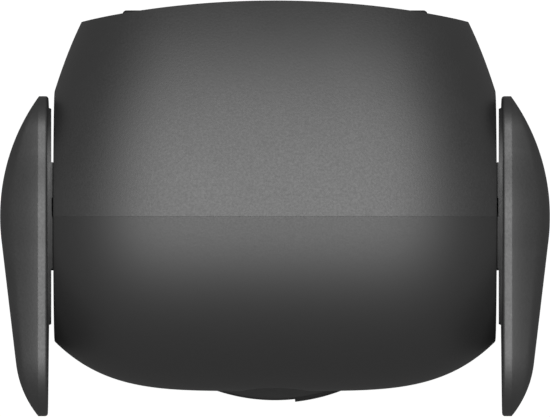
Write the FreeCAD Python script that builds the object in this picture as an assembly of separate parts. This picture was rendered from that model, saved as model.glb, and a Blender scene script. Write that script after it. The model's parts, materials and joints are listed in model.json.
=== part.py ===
"""Indoor security camera that turns on its base and tilts between two arms.

Millimetres, +Z up, the lens looks along -Y. The origin is the mouth of the tripod thread in
the underside, on the axis that the camera turns about. The tilt axis lies along X above it.
"""

import FreeCAD
import Part
import math
import os

from FreeCAD import Matrix, Placement, Rotation, Vector

# Clearances, each used wherever two pieces meet in that way
running_fit = 0.05
slip_fit = 0.1
moving_gap = 0.3
seat_gap = 0.05

# Head skin: a barrel along X whose sections are ovals, longer behind the axis than before it
head_half_width = 44.1
side_radius = 25.0
front_reach = 34.9
rear_reach = 56.7
head_half_height = 35.5
barrel_power = 4.15
head_wall = 2.0
rear_face_radius = 184.2
rear_face_reach = 43.2
rear_panel_recess = 0.5
rear_panel_thickness = 2.0

# Lens opening in the front shell and the lens behind it
front_cut_end = 15.0
lens_opening_radius = 7.0
bezel_recess = 0.8
bezel_front_bore = 6.2
bezel_rear_bore = 5.0
bezel_flange_radius = 9.0
bezel_flange_thickness = 1.0
lens_window_thickness = 1.0
lens_barrel_radius = 5.5
lens_barrel_length = 13.0
lens_glass_radius = 4.2
lens_mount_half_width = 8.0
lens_mount_depth = 7.0
filter_travel = 5.0
filter_size = 8.0
filter_thickness = 0.6
image_sensor_half_width = 2.6
image_sensor_thickness = 0.8

# Night lamps below the lens, all heights from the tilt axis
infrared_drop = 15.0
infrared_window_half_width = 13.0
infrared_window_half_height = 4.0
infrared_window_thickness = 1.5
lamp_radius = 1.5
lamp_length = 4.0
lamp_pitch = 5.4
lamp_count = 4
infrared_board_front = -23.0
infrared_board_half_width = 12.0
infrared_board_top = -10.5
infrared_board_bottom = -22.3
microphone_drop = 20.3
microphone_radius = 1.5
microphone_thickness = 1.0
microphone_hole_radius = 0.6
status_light_x = 6.0
status_light_radius = 0.9

# Frame, boards and tilt drive inside the head, y from the tilt axis
frame_front = -8.0
frame_thickness = 2.0
frame_half_width = 30.0
frame_half_height = 20.0
frame_post_radius = 3.0
frame_post_x = 26.0
frame_post_z = 16.0
frame_screw_radius = 1.2
frame_screw_head_radius = 2.2
frame_screw_head_height = 1.2
frame_screw_length = 5.5
standoff_radius = 1.6
standoff_length = 1.0
board_thickness = 1.2
sensor_board_half_width = 12.0
head_board_half_width = 22.0
head_board_half_height = 18.0
heat_sink_half_width = 7.0
heat_sink_half_height = 9.0
heat_sink_base = 1.2
heat_sink_height = 6.0
heat_sink_fins = 6
heat_sink_fin_thickness = 1.0
tilt_motor_radius = 9.5
tilt_motor_length = 13.0
motor_shaft_radius = 1.25
motor_shaft_depth = 4.0

# Gears
pressure_angle = 25.0
tooth_backlash = 0.14
tilt_module = 0.6
tilt_gear_teeth = 40
tilt_pinion_teeth = 12
tilt_gear_width = 3.0
tilt_pinion_width = 3.4
pan_module = 0.8
pan_gear_teeth = 50
pan_pinion_teeth = 12
pan_gear_width = 3.0
pan_pinion_width = 3.4
gear_centre_clearance = 0.04

# Hubs that carry the head, disc and arm on each side, x from the middle
disc_inner_x = 44.95
arm_inner_x = 45.54
arm_outer_x = 47.4
disc_edge_gap = 2.02
hub_radius = 10.8
hub_chamfer = 0.45
hub_notch_width = 3.7
hub_notch_depth = 1.5
hub_recess_depth = 0.5
hub_stub_radius = 6.0
hub_peg_radius = 5.0
hub_bore_radius = 3.0
bush_outer_radius = 9.0
bush_flange_radius = 11.0
bush_flange_thickness = 1.4
bush_length = 6.0

# Arm outline in the side view, y and z from the tilt axis
tail_y = -27.2
tail_z = 11.0
corner_lobe_radius = 7.5
corner_edge_gap = 0.08
corner_z = 13.1
foot_lobe_radius = 10.79
foot_z = -38.0
lobe_step = 0.05

# Arm cover: its outer wall in the plan view, the wall's lean towards the foot, and the dome's fall
hub_wall_radius = 41.0
hub_wall_x = 14.0
tail_wall_radius = 19.93
tail_wall_x = 32.0
lean_from_z = -5.0
lean_end_x = 50.5
dome_reach = 7.8
dome_fall = 0.44
dome_curve = 0.03
cover_wall = 1.8
cover_boss_radius = 2.4
cover_boss_edge_gap = 6.78
cover_boss_angles = (90, 200, 320)
cover_screw_radius = 0.9
cover_screw_head_radius = 1.7
cover_screw_head_height = 0.7
arm_foot_width = 21.6
arm_foot_thickness = 2.2
arm_foot_inner_x = 22.0
arm_screw_radius = 1.2
arm_screw_head_radius = 2.2
arm_screw_head_height = 1.2
arm_screw_x = 29.0
arm_screw_spacing = 12.0
cable_width = 5.0
cable_thickness = 0.8
cable_bottom = -30.0

# Base
base_radius = 37.85
base_height = 24.0
base_wall = 2.2
base_top_fillet = 1.2
block_half_width = 30.95
block_reach = 41.8
block_height = 20.0
block_corner = 2.5
plate_thickness = 2.0
plate_boss_radius = 7.0
plate_boss_height = 9.0
foot_radius = 4.0
foot_recess = 0.8
foot_stand = 0.8
foot_edge_gap = 0.8
foot_angles = (-27.0, 207.0, 39.8, 140.2)
base_screw_edge_gap = 1.55
base_screw_angles = (5.0, 180.0, -74.8)
block_screw_x = 26.0
block_screw_edge_gaps = (8.6, 6.6)
base_boss_radius = 2.8
base_screw_radius = 1.0
base_screw_head_radius = 2.0
base_screw_head_height = 1.0
base_screw_length = 9.0
tripod_thread_radius = 2.6
tripod_insert_radius = 4.5
tripod_insert_length = 8.0
weight_thickness = 2.5
weight_inner_radius = 8.0
weight_edge_gap = 7.65
weight_rear_y = 12.0

# Turntable and pan drive
turntable_gap = 0.5
turntable_radius = 37.2
turntable_thickness = 4.0
sweep_clearance = 0.9
turntable_hub_radius = 12.0
turntable_bore_radius = 8.0
pan_gear_bore = 10.0
pan_gear_bottom = 14.0
hub_end_drop = 1.4
retaining_ring_thickness = 0.8
retaining_ring_groove = 0.7
retaining_ring_outer = 12.0
pan_bearing_radius = 15.0
pan_bearing_flange = 18.0
pan_bearing_flange_thickness = 2.0
pan_bearing_length = 6.8
pan_motor_radius = 10.0
pan_motor_angle = 135.0

# Ports in the rear block
main_board_z = 4.0
main_board_x = (-22.5, 22.5)
main_board_depth = 10.9
main_board_edge_gap = 0.3
main_board_motor_gap = 0.8
socket_shell = 0.8
network_socket_x = 13.0
network_socket_half_width = 8.0
network_socket_height = 12.6
network_socket_depth = 11.0
network_mouth_half_width = 6.0
network_mouth_height = 8.0
power_socket_x = -4.0
power_socket_half_width = 4.5
power_socket_height = 3.3
power_socket_depth = 8.0
power_tongue_thickness = 0.7
reset_x = -17.0
reset_z = 9.0
reset_button_radius = 2.0
reset_collar_radius = 3.0
reset_collar_thickness = 1.2
reset_stand = 0.4
reset_travel = 0.5
reset_switch_size = 6.0
reset_switch_depth = 3.5

# Card bay at the front, angles from -Y towards +X
door_from_angle = -33.6
door_to_angle = 6.2
door_low_z = 5.0
door_high_z = 17.0
door_recess = 0.55
door_thickness = 1.6
door_gap = 0.3
door_pin_radius = 0.5
door_pin_length = 1.5
bay_low_z = 6.2
bay_high_z = 16.0
bay_half_width = 6.6
card_x = -9.0
card_z = 9.6
card_width = 11.0
card_length = 15.0
card_thickness = 1.0
card_door_gap = 0.72
card_press = 0.8
card_board_half_width = 9.0
card_board_length = 17.0
card_socket_half_width = 6.9
card_socket_length = 14.5
card_socket_wall = 0.3

# Speaker behind holes in the base plate
speaker_x = 15.5
speaker_y = -14.0
speaker_radius = 10.0
speaker_height = 5.0
speaker_lip = 1.0
grille_hole_radius = 0.7
grille_pitch = 2.4

# Places worked out from the sizes above
turntable_bottom = base_height + turntable_gap
turntable_top = turntable_bottom + turntable_thickness
rear_edge_height = head_half_height * math.sqrt(1 - (rear_face_reach / rear_reach) ** 2)
head_sweep = math.hypot(rear_face_reach, rear_edge_height)
tilt_z = turntable_top + head_sweep + sweep_clearance
frame_back = frame_front + frame_thickness
tilt_gear_distance = tilt_module * (tilt_gear_teeth + tilt_pinion_teeth) / 2 + gear_centre_clearance
pan_gear_distance = pan_module * (pan_gear_teeth + pan_pinion_teeth) / 2 + gear_centre_clearance
hub_lobe_radius = math.sqrt(hub_wall_radius ** 2 - (arm_outer_x - hub_wall_x) ** 2)
tail_lobe_radius = math.sqrt(tail_wall_radius ** 2 - (arm_outer_x - tail_wall_x) ** 2)
corner_y = hub_lobe_radius - corner_lobe_radius - corner_edge_gap
cover_boss_circle = hub_lobe_radius - cover_boss_edge_gap
disc_radius = hub_lobe_radius - disc_edge_gap
hub_recess_floor = head_half_width - hub_recess_depth
hub_inner_x = hub_recess_floor + moving_gap
bush_inner_x = hub_recess_floor - bush_length
tilt_gear_outer_x = bush_inner_x - moving_gap
tilt_gear_inner_x = tilt_gear_outer_x - tilt_gear_width
wing_outer_x = tilt_gear_inner_x - 1.6
wing_inner_x = wing_outer_x - frame_thickness
base_inner_radius = base_radius - base_wall
weight_outer_radius = base_inner_radius - weight_edge_gap
block_inner_reach = block_reach - base_wall
base_ceiling = base_height - base_wall
block_ceiling = block_height - base_wall
bearing_top = turntable_bottom - seat_gap
bearing_bottom = bearing_top - pan_bearing_length
pan_gear_top = pan_gear_bottom + pan_gear_width
pan_motor_x = pan_gear_distance * math.cos(math.radians(pan_motor_angle))
pan_motor_y = pan_gear_distance * math.sin(math.radians(pan_motor_angle))
pan_motor_top = pan_gear_bottom - 1.0
foot_ring_radius = base_inner_radius - foot_radius - foot_edge_gap
foot_places = [(foot_ring_radius * math.cos(math.radians(angle)), foot_ring_radius * math.sin(math.radians(angle)))
               for angle in foot_angles]
base_screw_ring_radius = base_inner_radius - base_boss_radius - base_screw_edge_gap
base_screw_places = [(base_screw_ring_radius * math.cos(math.radians(angle)),
                      base_screw_ring_radius * math.sin(math.radians(angle))) for angle in base_screw_angles]
base_screw_places.append((block_screw_x, block_inner_reach - block_screw_edge_gaps[0]))
base_screw_places.append((-block_screw_x, block_inner_reach - block_screw_edge_gaps[1]))
main_board_y = (block_inner_reach - main_board_edge_gap - main_board_depth, block_inner_reach - main_board_edge_gap)
door_inner_radius = base_radius - door_recess - door_thickness
card_corner_x = abs(card_x) + card_width / 2
card_front_y = card_door_gap - math.sqrt(door_inner_radius ** 2 - card_corner_x ** 2)
board_top = main_board_z + board_thickness
card_board_top = card_z - card_socket_wall - seat_gap
card_board_z = card_board_top - board_thickness
far = 100.0


def block(x_span, y_span, z_span):
    """A box between two values on each axis."""
    corner = Vector(min(x_span), min(y_span), min(z_span))
    return Part.makeBox(abs(x_span[1] - x_span[0]), abs(y_span[1] - y_span[0]),
                        abs(z_span[1] - z_span[0]), corner)


def upright(radius, low, high, x=0.0, y=0.0):
    """A cylinder along Z."""
    return Part.makeCylinder(radius, high - low, Vector(x, y, low))


def rod_x(radius, x_span, y=0.0, z=0.0):
    """A cylinder along X."""
    return Part.makeCylinder(radius, max(x_span) - min(x_span), Vector(min(x_span), y, z), Vector(1, 0, 0))


def rod_y(radius, y_span, x=0.0, z=0.0):
    """A cylinder along Y."""
    return Part.makeCylinder(radius, max(y_span) - min(y_span), Vector(x, min(y_span), z), Vector(0, 1, 0))


def ring(outer, inner, low, high, x=0.0, y=0.0):
    """A tube along Z."""
    return upright(outer, low, high, x, y).cut(upright(inner, low - 1, high + 1, x, y))


def join(*shapes):
    """One solid from pieces that overlap."""
    result = shapes[0]
    for shape in shapes[1:]:
        result = result.fuse(shape)
    return result.removeSplitter()


def without(shape, *tools):
    """A shape with the tools cut out of it."""
    for tool in tools:
        shape = shape.cut(tool)
    return shape


def on_left(shape):
    """The mirror image on the camera's other side."""
    return shape.mirror(Vector(0, 0, 0), Vector(1, 0, 0))


def export(name, shape):
    """Write one piece, or one group of like pieces, to its own file."""
    shape.exportStep("parts/" + name + ".step")


# Head skin
barrel_shares = (0.0, 0.25, 0.45, 0.6, 0.72, 0.82, 0.9, 0.96, 1.0)
barrel_stations = [-share for share in reversed(barrel_shares[1:])] + list(barrel_shares)


def half_oval(x, reach, height):
    """Half an oval in the plane at x, from the top over y = reach to the underside."""
    half_circle = Part.Arc(Vector(0, 0, 1), Vector(0, 1, 0), Vector(0, 0, -1)).toShape()
    stretch = Matrix()
    stretch.A22 = reach
    stretch.A33 = height
    stretch.A14 = x
    stretch.A34 = tilt_z
    return half_circle.transformGeometry(stretch)


def barrel(inset):
    """The head's skin as a solid, moved inwards by inset all round."""
    half_width = head_half_width - inset
    wires = []
    for share in barrel_stations:
        swell = 1 - abs(share) ** barrel_power
        height = side_radius + (head_half_height - side_radius) * swell - inset
        rear = side_radius + (rear_reach - side_radius) * swell - inset
        front = side_radius + (front_reach - side_radius) * swell - inset
        x = half_width * share
        wires.append(Part.Wire([half_oval(x, rear, height), half_oval(x, -front, height)]))
    return Part.makeLoft(wires, True, False)


def front_skin_y(drop, inset):
    """Where the middle of the front skin lies at a height of drop below the axis."""
    height = head_half_height - inset
    return -(front_reach - inset) * math.sqrt(1 - (drop / height) ** 2)


def rear_face(inset):
    """The tall cylinder that bounds the head behind."""
    radius = rear_face_radius - inset
    return upright(radius, tilt_z - far, tilt_z + far, 0, rear_face_reach - rear_face_radius)


def stadium(half_width, half_height, drop):
    """A bar with round ends along Y, below the lens."""
    straight = half_width - half_height
    z = tilt_z - drop
    middle = block((-straight, straight), (-far, -front_cut_end), (z - half_height, z + half_height))
    left = rod_y(half_height, (-far, -front_cut_end), -straight, z)
    right = rod_y(half_height, (-far, -front_cut_end), straight, z)
    return join(middle, left, right)


def hub_holes(radius, inner_x):
    """Round holes along the tilt axis through both sides of the head."""
    right = rod_x(radius, (inner_x, far), 0, tilt_z)
    return right.fuse(on_left(right))


def frame_posts():
    """The four places of the posts between the front shell and the frame."""
    places = []
    for x in (-frame_post_x, frame_post_x):
        for z in (-frame_post_z, frame_post_z):
            places.append((x, tilt_z + z))
    return places


def head_shells():
    """The front and rear shells, which meet over the tilt axis, and the rear panel."""
    skin = barrel(0)
    cavity = barrel(head_wall)
    front_half = block((-far, far), (-far, 0), (tilt_z - far, tilt_z + far))
    rear_half = block((-far, far), (0, far), (tilt_z - far, tilt_z + far))
    wall_holes = hub_holes(bush_outer_radius + seat_gap, 0)
    recesses = hub_holes(hub_radius + moving_gap, hub_recess_floor)

    posts = []
    for x, z in frame_posts():
        posts.append(rod_y(frame_post_radius, (-far, frame_front), x, z))
    posts = posts[0].multiFuse(posts[1:]).common(barrel(head_wall / 2))
    front = skin.common(front_half).cut(cavity).fuse(posts)
    front = without(front, wall_holes, recesses)
    front = front.cut(rod_y(lens_opening_radius, (-far, -front_cut_end), 0, tilt_z))
    front = front.cut(stadium(infrared_window_half_width, infrared_window_half_height, infrared_drop))
    front = front.cut(rod_y(microphone_hole_radius, (-far, -front_cut_end), 0, tilt_z - microphone_drop))
    light_hole = rod_y(status_light_radius + slip_fit, (-far, -front_cut_end), status_light_x, tilt_z - microphone_drop)
    front = front.cut(light_hole)
    for x, z in frame_posts():
        front = front.cut(rod_y(frame_screw_radius - seat_gap, (frame_front - frame_screw_length, 0), x, z))

    rear = skin.common(rear_half).common(rear_face(0)).cut(cavity)
    rear = without(rear, wall_holes, recesses)
    panel = barrel(head_wall + slip_fit).common(rear_half).common(rear_face(rear_panel_recess))
    panel = panel.cut(rear_face(rear_panel_recess + rear_panel_thickness))
    return front, rear, panel


# Gears
def involute(angle):
    """How far an involute has turned at a pressure angle."""
    return math.tan(angle) - angle


def polar(radius, angle):
    """A point in the XY plane."""
    return Vector(radius * math.cos(angle), radius * math.sin(angle), 0)


def gear(teeth, module, width, bore):
    """A spur gear on Z from z = 0, with one tooth's middle on +X."""
    working_angle = math.radians(pressure_angle)
    pitch_radius = module * teeth / 2
    base_circle = pitch_radius * math.cos(working_angle)
    tip_radius = pitch_radius + 0.9 * module
    root_radius = pitch_radius - 1.2 * module
    start_radius = max(base_circle + 0.01, root_radius + 0.01)
    half_tooth = math.pi / (2 * teeth) - tooth_backlash / (2 * pitch_radius) + involute(working_angle)

    def flank_angle(radius):
        return half_tooth - involute(math.acos(base_circle / radius))

    middle_radius = (start_radius + tip_radius) / 2
    edges = []
    for number in range(teeth):
        middle = 2 * math.pi * number / teeth
        following = 2 * math.pi * (number + 1) / teeth
        foot = flank_angle(start_radius)
        waist = flank_angle(middle_radius)
        tip = flank_angle(tip_radius)
        edges.append(Part.LineSegment(polar(root_radius, middle - foot), polar(start_radius, middle - foot)))
        edges.append(Part.Arc(polar(start_radius, middle - foot), polar(middle_radius, middle - waist),
                              polar(tip_radius, middle - tip)))
        edges.append(Part.Arc(polar(tip_radius, middle - tip), polar(tip_radius, middle),
                              polar(tip_radius, middle + tip)))
        edges.append(Part.Arc(polar(tip_radius, middle + tip), polar(middle_radius, middle + waist),
                              polar(start_radius, middle + foot)))
        edges.append(Part.LineSegment(polar(start_radius, middle + foot), polar(root_radius, middle + foot)))
        edges.append(Part.Arc(polar(root_radius, middle + foot), polar(root_radius, (middle + following) / 2),
                              polar(root_radius, following - foot)))
    outline = Part.Wire([edge.toShape() for edge in edges])
    blank = Part.Face(outline).extrude(Vector(0, 0, width))
    if bore > 0:
        blank = blank.cut(upright(bore, -1, width + 1))
    return blank


def turned_to_x(shape, x, y, z):
    """A shape built up from z = 0 laid along +X, with what pointed along +Y still doing so."""
    shape = shape.copy()
    shape.rotate(Vector(0, 0, 0), Vector(0, 1, 0), 90)
    shape.translate(Vector(x, y, z))
    return shape


# Pieces inside the head
def lens_pieces():
    """Bezel, window, lens, its mount, the sliding filter and the sensor."""
    pieces = {}
    z = tilt_z
    bezel_radius = lens_opening_radius - seat_gap
    flange_front = front_skin_y(bezel_flange_radius, head_wall) + moving_gap
    flange_back = flange_front + bezel_flange_thickness
    bezel = rod_y(bezel_radius, (-far, flange_back), 0, z).fuse(
        rod_y(bezel_flange_radius, (flange_front, flange_back), 0, z))
    cone_front = -front_reach + bezel_recess
    cone = Part.makeCone(bezel_front_bore, bezel_rear_bore, flange_front - cone_front,
                         Vector(0, cone_front, z), Vector(0, 1, 0))
    bezel = without(bezel, cone, rod_y(lens_barrel_radius + slip_fit, (flange_front, 0), 0, z))
    bezel = bezel.cut(rod_y(bezel_front_bore, (-far, cone_front), 0, z))
    bezel = bezel.common(barrel(bezel_recess))

    window_back = flange_front
    window_front = window_back - lens_window_thickness
    pieces["lens_window"] = rod_y(bezel_rear_bore - slip_fit, (window_front, window_back), 0, z)

    barrel_front = flange_front + seat_gap
    barrel_back = barrel_front + lens_barrel_length
    lens = rod_y(lens_barrel_radius, (barrel_front, barrel_back), 0, z)
    glass_thickness = 2.2
    glass_front = barrel_front + 0.4
    lens = lens.cut(rod_y(lens_glass_radius, (barrel_front - 1, barrel_front + glass_thickness), 0, z))
    lens = lens.cut(rod_y(lens_glass_radius - 1.2, (barrel_front, barrel_back + 1), 0, z))
    pieces["lens_barrel"] = lens
    dome_radius = 7.0
    dome_centre = glass_front + dome_radius
    glass = rod_y(lens_glass_radius - seat_gap, (barrel_front, barrel_front + glass_thickness), 0, z)
    pieces["front_lens"] = glass.common(Part.makeSphere(dome_radius, Vector(0, dome_centre, z)))

    board_back = frame_front - standoff_length
    board_front = board_back - board_thickness
    mount_front = board_front - lens_mount_depth
    half = lens_mount_half_width
    mount_reach = filter_size / 2 + filter_travel + 2
    mount = block((-half, mount_reach), (mount_front, board_front), (z - half, z + half))
    mount = mount.cut(rod_y(lens_barrel_radius + seat_gap, (mount_front - 1, board_front - 3.6), 0, z))
    mount = mount.cut(rod_y(4.0, (mount_front, board_front + 1), 0, z))
    slot_y = (board_front - 3.4, board_front - 3.4 + filter_thickness + 2 * moving_gap)
    slot_half = filter_size / 2 + moving_gap
    mount = mount.cut(block((-slot_half, mount_reach - 1), slot_y, (z - slot_half, z + slot_half)))
    pieces["lens_mount"] = mount
    filter_y = (slot_y[0] + moving_gap, slot_y[1] - moving_gap)
    filter_half = filter_size / 2
    pieces["infrared_filter"] = block((-filter_half, filter_half), filter_y, (z - filter_half, z + filter_half))

    half = image_sensor_half_width
    pieces["image_sensor"] = block((-half, half), (board_front - image_sensor_thickness, board_front),
                                   (z - half, z + half))
    half = sensor_board_half_width
    pieces["sensor_board"] = block((-half, half), (board_front, board_back), (z - half, z + half))
    pieces["lens_bezel"] = bezel
    return pieces


def infrared_pieces():
    """The lamps' window, board and lamps, with the microphone and the status light."""
    pieces = {}
    plug = stadium(infrared_window_half_width - slip_fit, infrared_window_half_height - slip_fit, infrared_drop)
    window = barrel(slip_fit).cut(barrel(infrared_window_thickness)).common(plug)
    pieces["infrared_window"] = window
    front = infrared_board_front
    back = front + board_thickness
    half = infrared_board_half_width
    pieces["infrared_board"] = block((-half, half), (front, back),
                                     (tilt_z + infrared_board_bottom, tilt_z + infrared_board_top))
    lamps = []
    first = -lamp_pitch * (lamp_count - 1) / 2
    z = tilt_z - infrared_drop
    for number in range(lamp_count):
        x = first + number * lamp_pitch
        stem = rod_y(lamp_radius, (front - lamp_length + lamp_radius, front), x, z)
        tip = Part.makeSphere(lamp_radius, Vector(x, front - lamp_length + lamp_radius, z))
        lamps.append(join(stem, tip))
    pieces["infrared_lamps"] = Part.makeCompound(lamps)
    z = tilt_z - microphone_drop
    pieces["microphone"] = rod_y(microphone_radius, (front - microphone_thickness, front), 0, z)
    pieces["status_light"] = rod_y(status_light_radius, (-far, front), status_light_x, z).common(barrel(0))
    return pieces


def head_frame_piece():
    """The frame on the front shell's posts, with the wing that carries the tilt motor."""
    height = frame_half_height
    plate = block((-wing_outer_x, frame_half_width), (frame_front, frame_back),
                  (tilt_z - height, tilt_z + height))
    wing_back = tilt_gear_distance + tilt_motor_radius + 1
    wing_half_height = tilt_motor_radius + 1
    wing = block((-wing_outer_x, -wing_inner_x), (frame_front, wing_back),
                 (tilt_z - wing_half_height, tilt_z + wing_half_height))
    frame = join(plate, wing)
    frame = frame.cut(rod_x(motor_shaft_radius + moving_gap, (-wing_outer_x - 1, -wing_inner_x + 1),
                            tilt_gear_distance, tilt_z))
    frame = frame.cut(rod_x(hub_stub_radius + moving_gap, (-wing_outer_x - 1, -wing_inner_x + 1), 0, tilt_z))
    standoffs = []
    for x in (-sensor_board_half_width + 2, sensor_board_half_width - 2):
        for z in (-sensor_board_half_width + 2, sensor_board_half_width - 2):
            standoffs.append(rod_y(standoff_radius, (frame_front - standoff_length, frame_front + 1), x, tilt_z + z))
    for x in (-head_board_half_width + 2, head_board_half_width - 2):
        for z in (-head_board_half_height + 2, head_board_half_height - 2):
            standoffs.append(rod_y(standoff_radius, (frame_back - 1, frame_back + standoff_length), x, tilt_z + z))
    for x in (-infrared_board_half_width + 1, infrared_board_half_width - 1):
        standoffs.append(rod_y(standoff_radius, (infrared_board_front + board_thickness, frame_front + 1), x,
                               tilt_z - infrared_drop))
    frame = join(frame, *standoffs)
    for x, z in frame_posts():
        frame = frame.cut(rod_y(frame_screw_radius + slip_fit, (frame_front - 1, frame_back + 1), x, z))
    return frame


def head_electronics():
    """The head board and its heat sink."""
    front = frame_back + standoff_length
    back = front + board_thickness
    half = head_board_half_width
    board = block((-half, half), (front, back), (tilt_z - head_board_half_height, tilt_z + head_board_half_height))
    for x, z in frame_posts():
        board = board.cut(rod_y(frame_screw_head_radius + moving_gap, (front - 1, back + 1), x, z))
    sink_x = half - heat_sink_half_width - 4
    left = sink_x - heat_sink_half_width
    right = sink_x + heat_sink_half_width
    z_span = (tilt_z - heat_sink_half_height, tilt_z + heat_sink_half_height)
    sink = block((left, right), (back, back + heat_sink_base), z_span)
    pitch = (right - left - heat_sink_fin_thickness) / (heat_sink_fins - 1)
    for number in range(heat_sink_fins):
        x = left + number * pitch
        sink = sink.fuse(block((x, x + heat_sink_fin_thickness), (back, back + heat_sink_height), z_span))
    return board, sink.removeSplitter()


def tilt_drive():
    """Motor and pinion in the head, and the gear on the left hub that the pinion climbs."""
    y = tilt_gear_distance
    motor = rod_x(tilt_motor_radius, (-wing_inner_x, -wing_inner_x + tilt_motor_length), y, tilt_z)
    motor = motor.cut(rod_x(motor_shaft_radius + running_fit,
                            (-wing_inner_x - 1, -wing_inner_x + motor_shaft_depth + seat_gap), y, tilt_z))
    wheel = gear(tilt_gear_teeth, tilt_module, tilt_gear_width, hub_stub_radius + seat_gap)
    wheel.rotate(Vector(0, 0, 0), Vector(0, 0, 1), 90)
    wheel = turned_to_x(wheel, -tilt_gear_outer_x, 0, tilt_z)
    small = gear(tilt_pinion_teeth, tilt_module, tilt_pinion_width, 0)
    small.rotate(Vector(0, 0, 0), Vector(0, 0, 1), 270 + 180 / tilt_pinion_teeth)
    small = turned_to_x(small, -tilt_gear_outer_x - (tilt_pinion_width - tilt_gear_width) / 2, y, tilt_z)
    shaft = rod_x(motor_shaft_radius, (-tilt_gear_inner_x - 0.5, -wing_inner_x + motor_shaft_depth), y, tilt_z)
    return motor, wheel, join(small, shaft)


# Arms, hubs and discs, built on the right
def two_circle_outline(first, first_radius, second, second_radius, place):
    """The closed line round two circles and the lines that touch both, put in space by place."""
    across = (second[0] - first[0], second[1] - first[1])
    distance = math.hypot(across[0], across[1])
    heading = math.atan2(across[1], across[0])
    spread = math.acos((first_radius - second_radius) / distance)

    def on_circle(centre, radius, angle):
        return place(centre[0] + radius * math.cos(angle), centre[1] + radius * math.sin(angle))

    first_up = on_circle(first, first_radius, heading + spread)
    first_far = on_circle(first, first_radius, heading + math.pi)
    first_down = on_circle(first, first_radius, heading - spread)
    second_up = on_circle(second, second_radius, heading + spread)
    second_far = on_circle(second, second_radius, heading)
    second_down = on_circle(second, second_radius, heading - spread)
    edges = [Part.Arc(first_up, first_far, first_down), Part.LineSegment(first_down, second_down),
             Part.Arc(second_down, second_far, second_up), Part.LineSegment(second_up, first_up)]
    return Part.Wire([edge.toShape() for edge in edges])


def arm_lobes(inset, x):
    """Outlines of the arm's three lobes at one x. Each lobe joins the round hub to one end of the arm."""
    def place(y, z):
        return Vector(x, y, tilt_z + z)

    ends = [((tail_y, tail_z), tail_lobe_radius), ((0, foot_z), foot_lobe_radius),
            ((corner_y, corner_z), corner_lobe_radius)]
    outlines = []
    for number, (centre, radius) in enumerate(ends):
        hub_radius = hub_lobe_radius - number * lobe_step - inset
        outlines.append(two_circle_outline((0, 0), hub_radius, centre, radius - inset, place))
    return outlines


def arm_wall(inset):
    """Everything inside the arm's outer wall: two round sweeps in the plan view, leaning in below."""
    def place(x, y):
        return Vector(x, y, tilt_z - far)

    outline = two_circle_outline((hub_wall_x, 0), hub_wall_radius - inset,
                                 (tail_wall_x, tail_y), tail_wall_radius - inset, place)
    wall = Part.Face(outline).extrude(Vector(0, 0, 2 * far))
    from_x = hub_wall_x + hub_wall_radius - inset
    from_z = tilt_z + lean_from_z
    end_z = tilt_z + foot_z - foot_lobe_radius
    points = [Vector(from_x, -far, from_z), Vector(far, -far, from_z), Vector(far, -far, end_z),
              Vector(lean_end_x - inset, -far, end_z), Vector(from_x, -far, from_z)]
    lean = Part.Face(Part.makePolygon(points)).extrude(Vector(0, 2 * far, 0))
    beside = block((arm_outer_x, far), (-far, far), (tilt_z - far, tilt_z + far))
    return wall.common(beside).cut(lean)


def arm_dome(inset):
    """The arm's outer form beyond its flat plate, drawn in towards the outside and cut to its outer wall."""
    wall = arm_wall(inset)
    levels = []
    for share in (0, 0.5, 1):
        reach = share * dome_reach
        fall = dome_fall * reach + dome_curve * reach ** 2
        levels.append(arm_lobes(inset + fall, arm_outer_x + reach))
    lobes = [Part.makeLoft(list(outlines), True).common(wall) for outlines in zip(*levels)]
    return lobes[0].multiFuse(lobes[1:]).removeSplitter()


def cover_bosses():
    """Places, in YZ, of the bosses that hold an arm cover to its arm."""
    places = []
    for angle in cover_boss_angles:
        turn = math.radians(angle)
        places.append((cover_boss_circle * math.cos(turn), tilt_z + cover_boss_circle * math.sin(turn)))
    return places


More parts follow.
